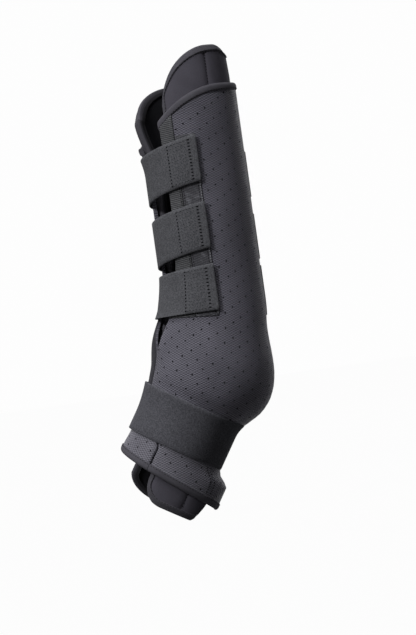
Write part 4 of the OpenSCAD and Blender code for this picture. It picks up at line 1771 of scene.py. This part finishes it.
@dataclass
class FrontFastening:
    """The facing along the fastening edge and the loop tape beside it."""

    low: float = 46.0
    facing_end: float = 69.0
    tape_end: float = 92.0

    CREASE = 60.0

    def levels(self) -> Array:
        """Levels of the rows, with one close to each end."""
        top, low = EDGES.core_top - 0.4, self.low
        rows = np.linspace(top - 3, low + 3, 60)
        return np.concatenate([[top, top - 0.5], rows, [low + 0.5, low]])

    def tape(self, name: str, start: Curve, end: float, columns: int, finish: Finish, slot: Slot,
             node: str, rising: bool = False) -> Piece:
        """Makes one upright tape.

        Args:
            name: The piece's name.
            start: Angle of its front edge at a level.
            end: Angle of its back edge.
            columns: Columns across.
            finish: Its cloth.
            slot: The record's slot for that cloth; not used.
            node: The node that it stands for.
            rising: Whether its top follows the shell's top binding.

        Returns:
            The piece.
        """
        s = self.levels()
        share = np.concatenate([[0.0, 0.03], np.linspace(0.1, 0.9, columns), [0.97, 1.0]])
        u = mix(start(s)[:, None], end, share[None])
        level = np.broadcast_to(s[:, None], u.shape)
        if rising:
            reach = EDGES.shell_top(u) - LAYERS.binding - 0.8 - self.low
            level = self.low + (level - self.low) * reach / (s[0] - self.low)
        grid = np.stack([u, level], -1)
        inner, outer = np.full(u.shape, LAYERS.shell_out + CLEAR), np.full(u.shape, LAYERS.tape_out)
        outer[[0, -1]] -= 0.3
        outer[:, [0, -1]] -= 0.4
        work = Workpiece()
        slab(work, grid, inner, outer, CLOTH.lay(grid))
        obj = work.build(name, [finish], self.CREASE)
        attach(obj, "near_half")
        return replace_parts(obj, node)

    def build(self, thread: Sewing, pale: Sewing) -> list[Piece]:
        """Makes both tapes and sews them.

        Args:
            thread: Takes the dark stitches.
            pale: Takes the pale stitches on the tape's back edge.

        Returns:
            The pieces.
        """
        split = self.facing_end
        front = lambda s: EDGES.near_front(s) + 1.0
        facing = self.tape("fastening_edge_facing", front, split - 0.3,
                           7, TAPE_CLOTH, Slot.FACING, "edge_facing", True)
        landing = self.tape("loop_landing_tape", steady(split + 0.3), self.tape_end,
                            9, LANDING_CLOTH, Slot.LOOP, "landing_strip")
        s = np.linspace(EDGES.core_top - 10, self.low + 2, 60)
        for u in (split - 2.2, split + 2.2, self.tape_end - 3.2):
            thread.row(upright(u, s), LAYERS.tape_out, Stitch.TAPE_EDGE)
        pale.row(upright(self.tape_end - 1.0, s), LAYERS.tape_out - 0.1, Stitch.TAPE_PALE)
        return [facing, landing]


@dataclass
class Shell:
    """The three perforated panels and the rows of stitches along both back seams."""

    rows: tuple[float, float] = (136.5, 142.5)
    levels: tuple[float, float] = (-90.5, -114.5)

    def build(self, threads: dict[Side, Sewing]) -> list[Piece]:
        """Makes the panels and sews their seams.

        Args:
            threads: Take the stitches of each strip.

        Returns:
            The pieces.
        """
        made = [ShellPanel(side).build() for side in Side]
        s = np.linspace(*self.levels, 12)
        for side in (Side.NEAR, Side.FAR):
            for u in self.rows:
                path = upright(u * side.value, s)
                threads[side].row(path, LAYERS.shell_out - 0.05, Stitch.BACK_SEAM)
        return made


@dataclass
class Liner:
    """The three quilted panels and the stitches in their channels."""

    sunk: float = 1.1
    end_gap: float = 8.5
    under_shell: float = 4.0

    def build(self, threads: dict[Side, Sewing]) -> list[Piece]:
        """Makes the panels and sews the channels where the shell leaves them bare.

        Args:
            threads: Take the stitches of each strip.

        Returns:
            The pieces.
        """
        made = [LinerPanel(side).build() for side in Side]
        for side in (Side.NEAR, Side.FAR):
            cut = LINER_CUTS[side]
            u = EDGES.channel * side.value
            top, low = float(cut.top(u)) - self.end_gap, float(cut.low(u)) + self.end_gap
            shell_top = float(EDGES.shell_top(u)) - self.under_shell
            shell_hem = float(EDGES.shell_hem(u)) + self.under_shell
            for s in (np.linspace(top, shell_top, 16), np.linspace(shell_hem, low, 8)):
                threads[side].row(upright(u, s), LAYERS.pad_out - self.sunk, Stitch.CHANNEL)
        return made


@dataclass(frozen=True)
class Studio:
    """Camera, lamps, pale floor and white surroundings."""

    lean: float = 8.0
    scale: float = 0.95
    middle: tuple[float, float] = (-9.5, 45.2)
    lens: float = 180.0
    ambient: float = 0.03
    shown: float = 0.985
    floor_shown: float = 0.973

    WHITE = (1.0, 1.0, 1.0, 1.0)
    DULL = (0.06, 0.06, 0.06, 1.0)
    PICTURE_HEIGHT = 635
    SENSOR = 36.0
    FLOOR = 6.0
    LAMPS = (
        ("key_lamp", (-4.40, -5.06, 4.44), 0.9, 420.0),
        ("top_lamp", (-0.71, -1.53, 3.70), 2.5, 128.0),
        ("far_lamp", (-1.4, 2.2, 1.2), 1.2, 6.0),
        ("back_lamp", (1.5, 2.3, 1.2), 1.2, 24.0),
    )

    def camera(self) -> None:
        """Sets the camera square to the fastening side, with the boot leaning as in the picture."""
        data = bpy.data.cameras.new("camera")
        data.lens, data.sensor_width = self.lens, self.SENSOR
        away = self.PICTURE_HEIGHT * self.scale * MM * self.lens / self.SENSOR
        a = math.radians(self.lean)
        right, up = Vector((math.cos(a), 0, -math.sin(a))), Vector((math.sin(a), 0, math.cos(a)))
        back = Vector((0, -1, 0))
        cam = bpy.data.objects.new("camera", data)
        spot = Vector((self.middle[0] * MM, -0.02, self.middle[1] * MM)) + back * away
        turn = Matrix((right, up, back)).transposed().to_4x4()
        cam.matrix_world = Matrix.Translation(spot) @ turn
        data.clip_end = 100.0
        bpy.context.scene.collection.objects.link(cam)
        bpy.context.scene.camera = cam

    def lamp(self, name: str, spot: tuple[float, float, float], size: float, power: float) -> None:
        """Adds one soft lamp that faces the boot.

        Args:
            name: The lamp's name.
            spot: Where it stands, in metres.
            size: Its width in metres.
            power: Its power in watts.
        """
        data = bpy.data.lights.new(name, "AREA")
        data.size, data.energy = size, power
        obj = bpy.data.objects.new(name, data)
        obj.location = spot
        obj.rotation_mode = "QUATERNION"
        obj.rotation_quaternion = (Vector((0, 0, 0.08)) - Vector(spot)).to_track_quat("-Z", "Y")
        bpy.context.scene.collection.objects.link(obj)

    @staticmethod
    def seen(tree: bpy.types.NodeTree) -> Socket:
        """1 for rays that show the surroundings, also reflected, and 0 for light on the boot."""
        path = tree.nodes.new("ShaderNodeLightPath")
        value = path.outputs["Is Camera Ray"]
        for word in ("Is Glossy Ray", "Is Transmission Ray"):
            node = tree.nodes.new("ShaderNodeMath")
            node.operation = "MAXIMUM"
            tree.links.new(value, node.inputs[0])
            tree.links.new(path.outputs[word], node.inputs[1])
            value = node.outputs[0]
        return value

    @staticmethod
    def show(tree: bpy.types.NodeTree, share: Socket, light: Socket, picture: Socket,
             output: str) -> None:
        """Joins what lights the boot with what the picture shows.

        Args:
            tree: The node tree.
            share: Share of what the picture shows.
            light: Shader that lights the boot.
            picture: Shader that the picture shows.
            output: Name of the tree's output node.
        """
        both = tree.nodes.new("ShaderNodeMixShader")
        for key, socket in enumerate((share, light, picture)):
            tree.links.new(socket, both.inputs[key])
        tree.links.new(both.outputs[0], tree.nodes[output].inputs[0])

    def world(self) -> None:
        """White surroundings that light the boot softly."""
        world = bpy.data.worlds.new("surroundings")
        bpy.context.scene.world = world
        world.use_nodes = True
        tree = world.node_tree
        soft, white = tree.nodes["Background"], tree.nodes.new("ShaderNodeBackground")
        for node, strength in ((soft, self.ambient), (white, self.shown)):
            node.inputs[0].default_value = self.WHITE
            node.inputs[1].default_value = strength
        self.show(tree, self.seen(tree), soft.outputs[0], white.outputs[0], "World Output")

    def floor(self) -> None:
        """Pale floor just under the boot, nearly white to the camera and with a faint shadow."""
        level, reach = CAD_BOX[0].z - 0.0015, self.FLOOR
        mesh = bpy.data.meshes.new("floor")
        corners = [(x * reach, y * reach, level) for x, y in ((-1, -1), (1, -1), (1, 1), (-1, 1))]
        mesh.from_pydata(corners, [], [(0, 1, 2, 3)])
        material = bpy.data.materials.new("pale_floor")
        material.use_nodes = True
        tree = material.node_tree
        plain = tree.nodes["Principled BSDF"]
        plain.inputs["Base Color"].default_value = self.DULL
        plain.inputs["Roughness"].default_value = 0.9
        glow = tree.nodes.new("ShaderNodeEmission")
        glow.inputs[0].default_value = self.WHITE
        share = tree.nodes.new("ShaderNodeMath")
        share.operation = "MULTIPLY"
        share.inputs[1].default_value = self.floor_shown
        tree.links.new(self.seen(tree), share.inputs[0])
        self.show(tree, share.outputs[0], plain.outputs[0], glow.outputs[0], "Material Output")
        mesh.materials.append(material)
        obj = bpy.data.objects.new("floor", mesh)
        bpy.context.scene.collection.objects.link(obj)

    def build(self) -> None:
        """Sets up the whole studio."""
        bpy.context.scene.view_settings.view_transform = "Standard"
        self.camera()
        self.world()
        self.floor()
        for lamp in self.LAMPS:
            self.lamp(*lamp)


def report(pieces: Sequence[Piece]) -> None:
    """Logs each piece with its size.

    Args:
        pieces: The pieces just made.
    """
    for obj in pieces:
        mesh = obj.data
        LOG.info("%s: %d points, %d faces", obj.name, len(mesh.vertices), len(mesh.polygons))


def main() -> None:
    """Builds the boot from the leg outwards, then the studio round it."""
    logging.basicConfig(level=logging.INFO, format="%(name)s: %(message)s")
    Studio().build()
    threads = {side: Sewing(DARK_THREAD) for side in Side}
    pale = Sewing(PALE_THREAD)
    report(Liner().build(threads))
    report(Shell().build(threads))
    for side in Side:
        report(Bindings(side).build(threads[side]))
    report(FrontFastening().build(threads[Side.NEAR], pale))
    for number, level, rise in ((1, 176.0, 22.0), (2, 116.0, 18.0), (3, 66.0, 8.0)):
        stem = f"strap_{number}"
        report(CannonStrap(stem, stem, f"tab_{number}", level, rise).build())
    report(FetlockStrap().build())
    for side in Side:
        report([fasten(threads[side].build(f"{side.word}_stitching"), side)])
    edge = pale.build("loop_tape_edge_stitching")
    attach(edge, "near_half")
    report([edge])


if __name__ == "__main__":
    main()
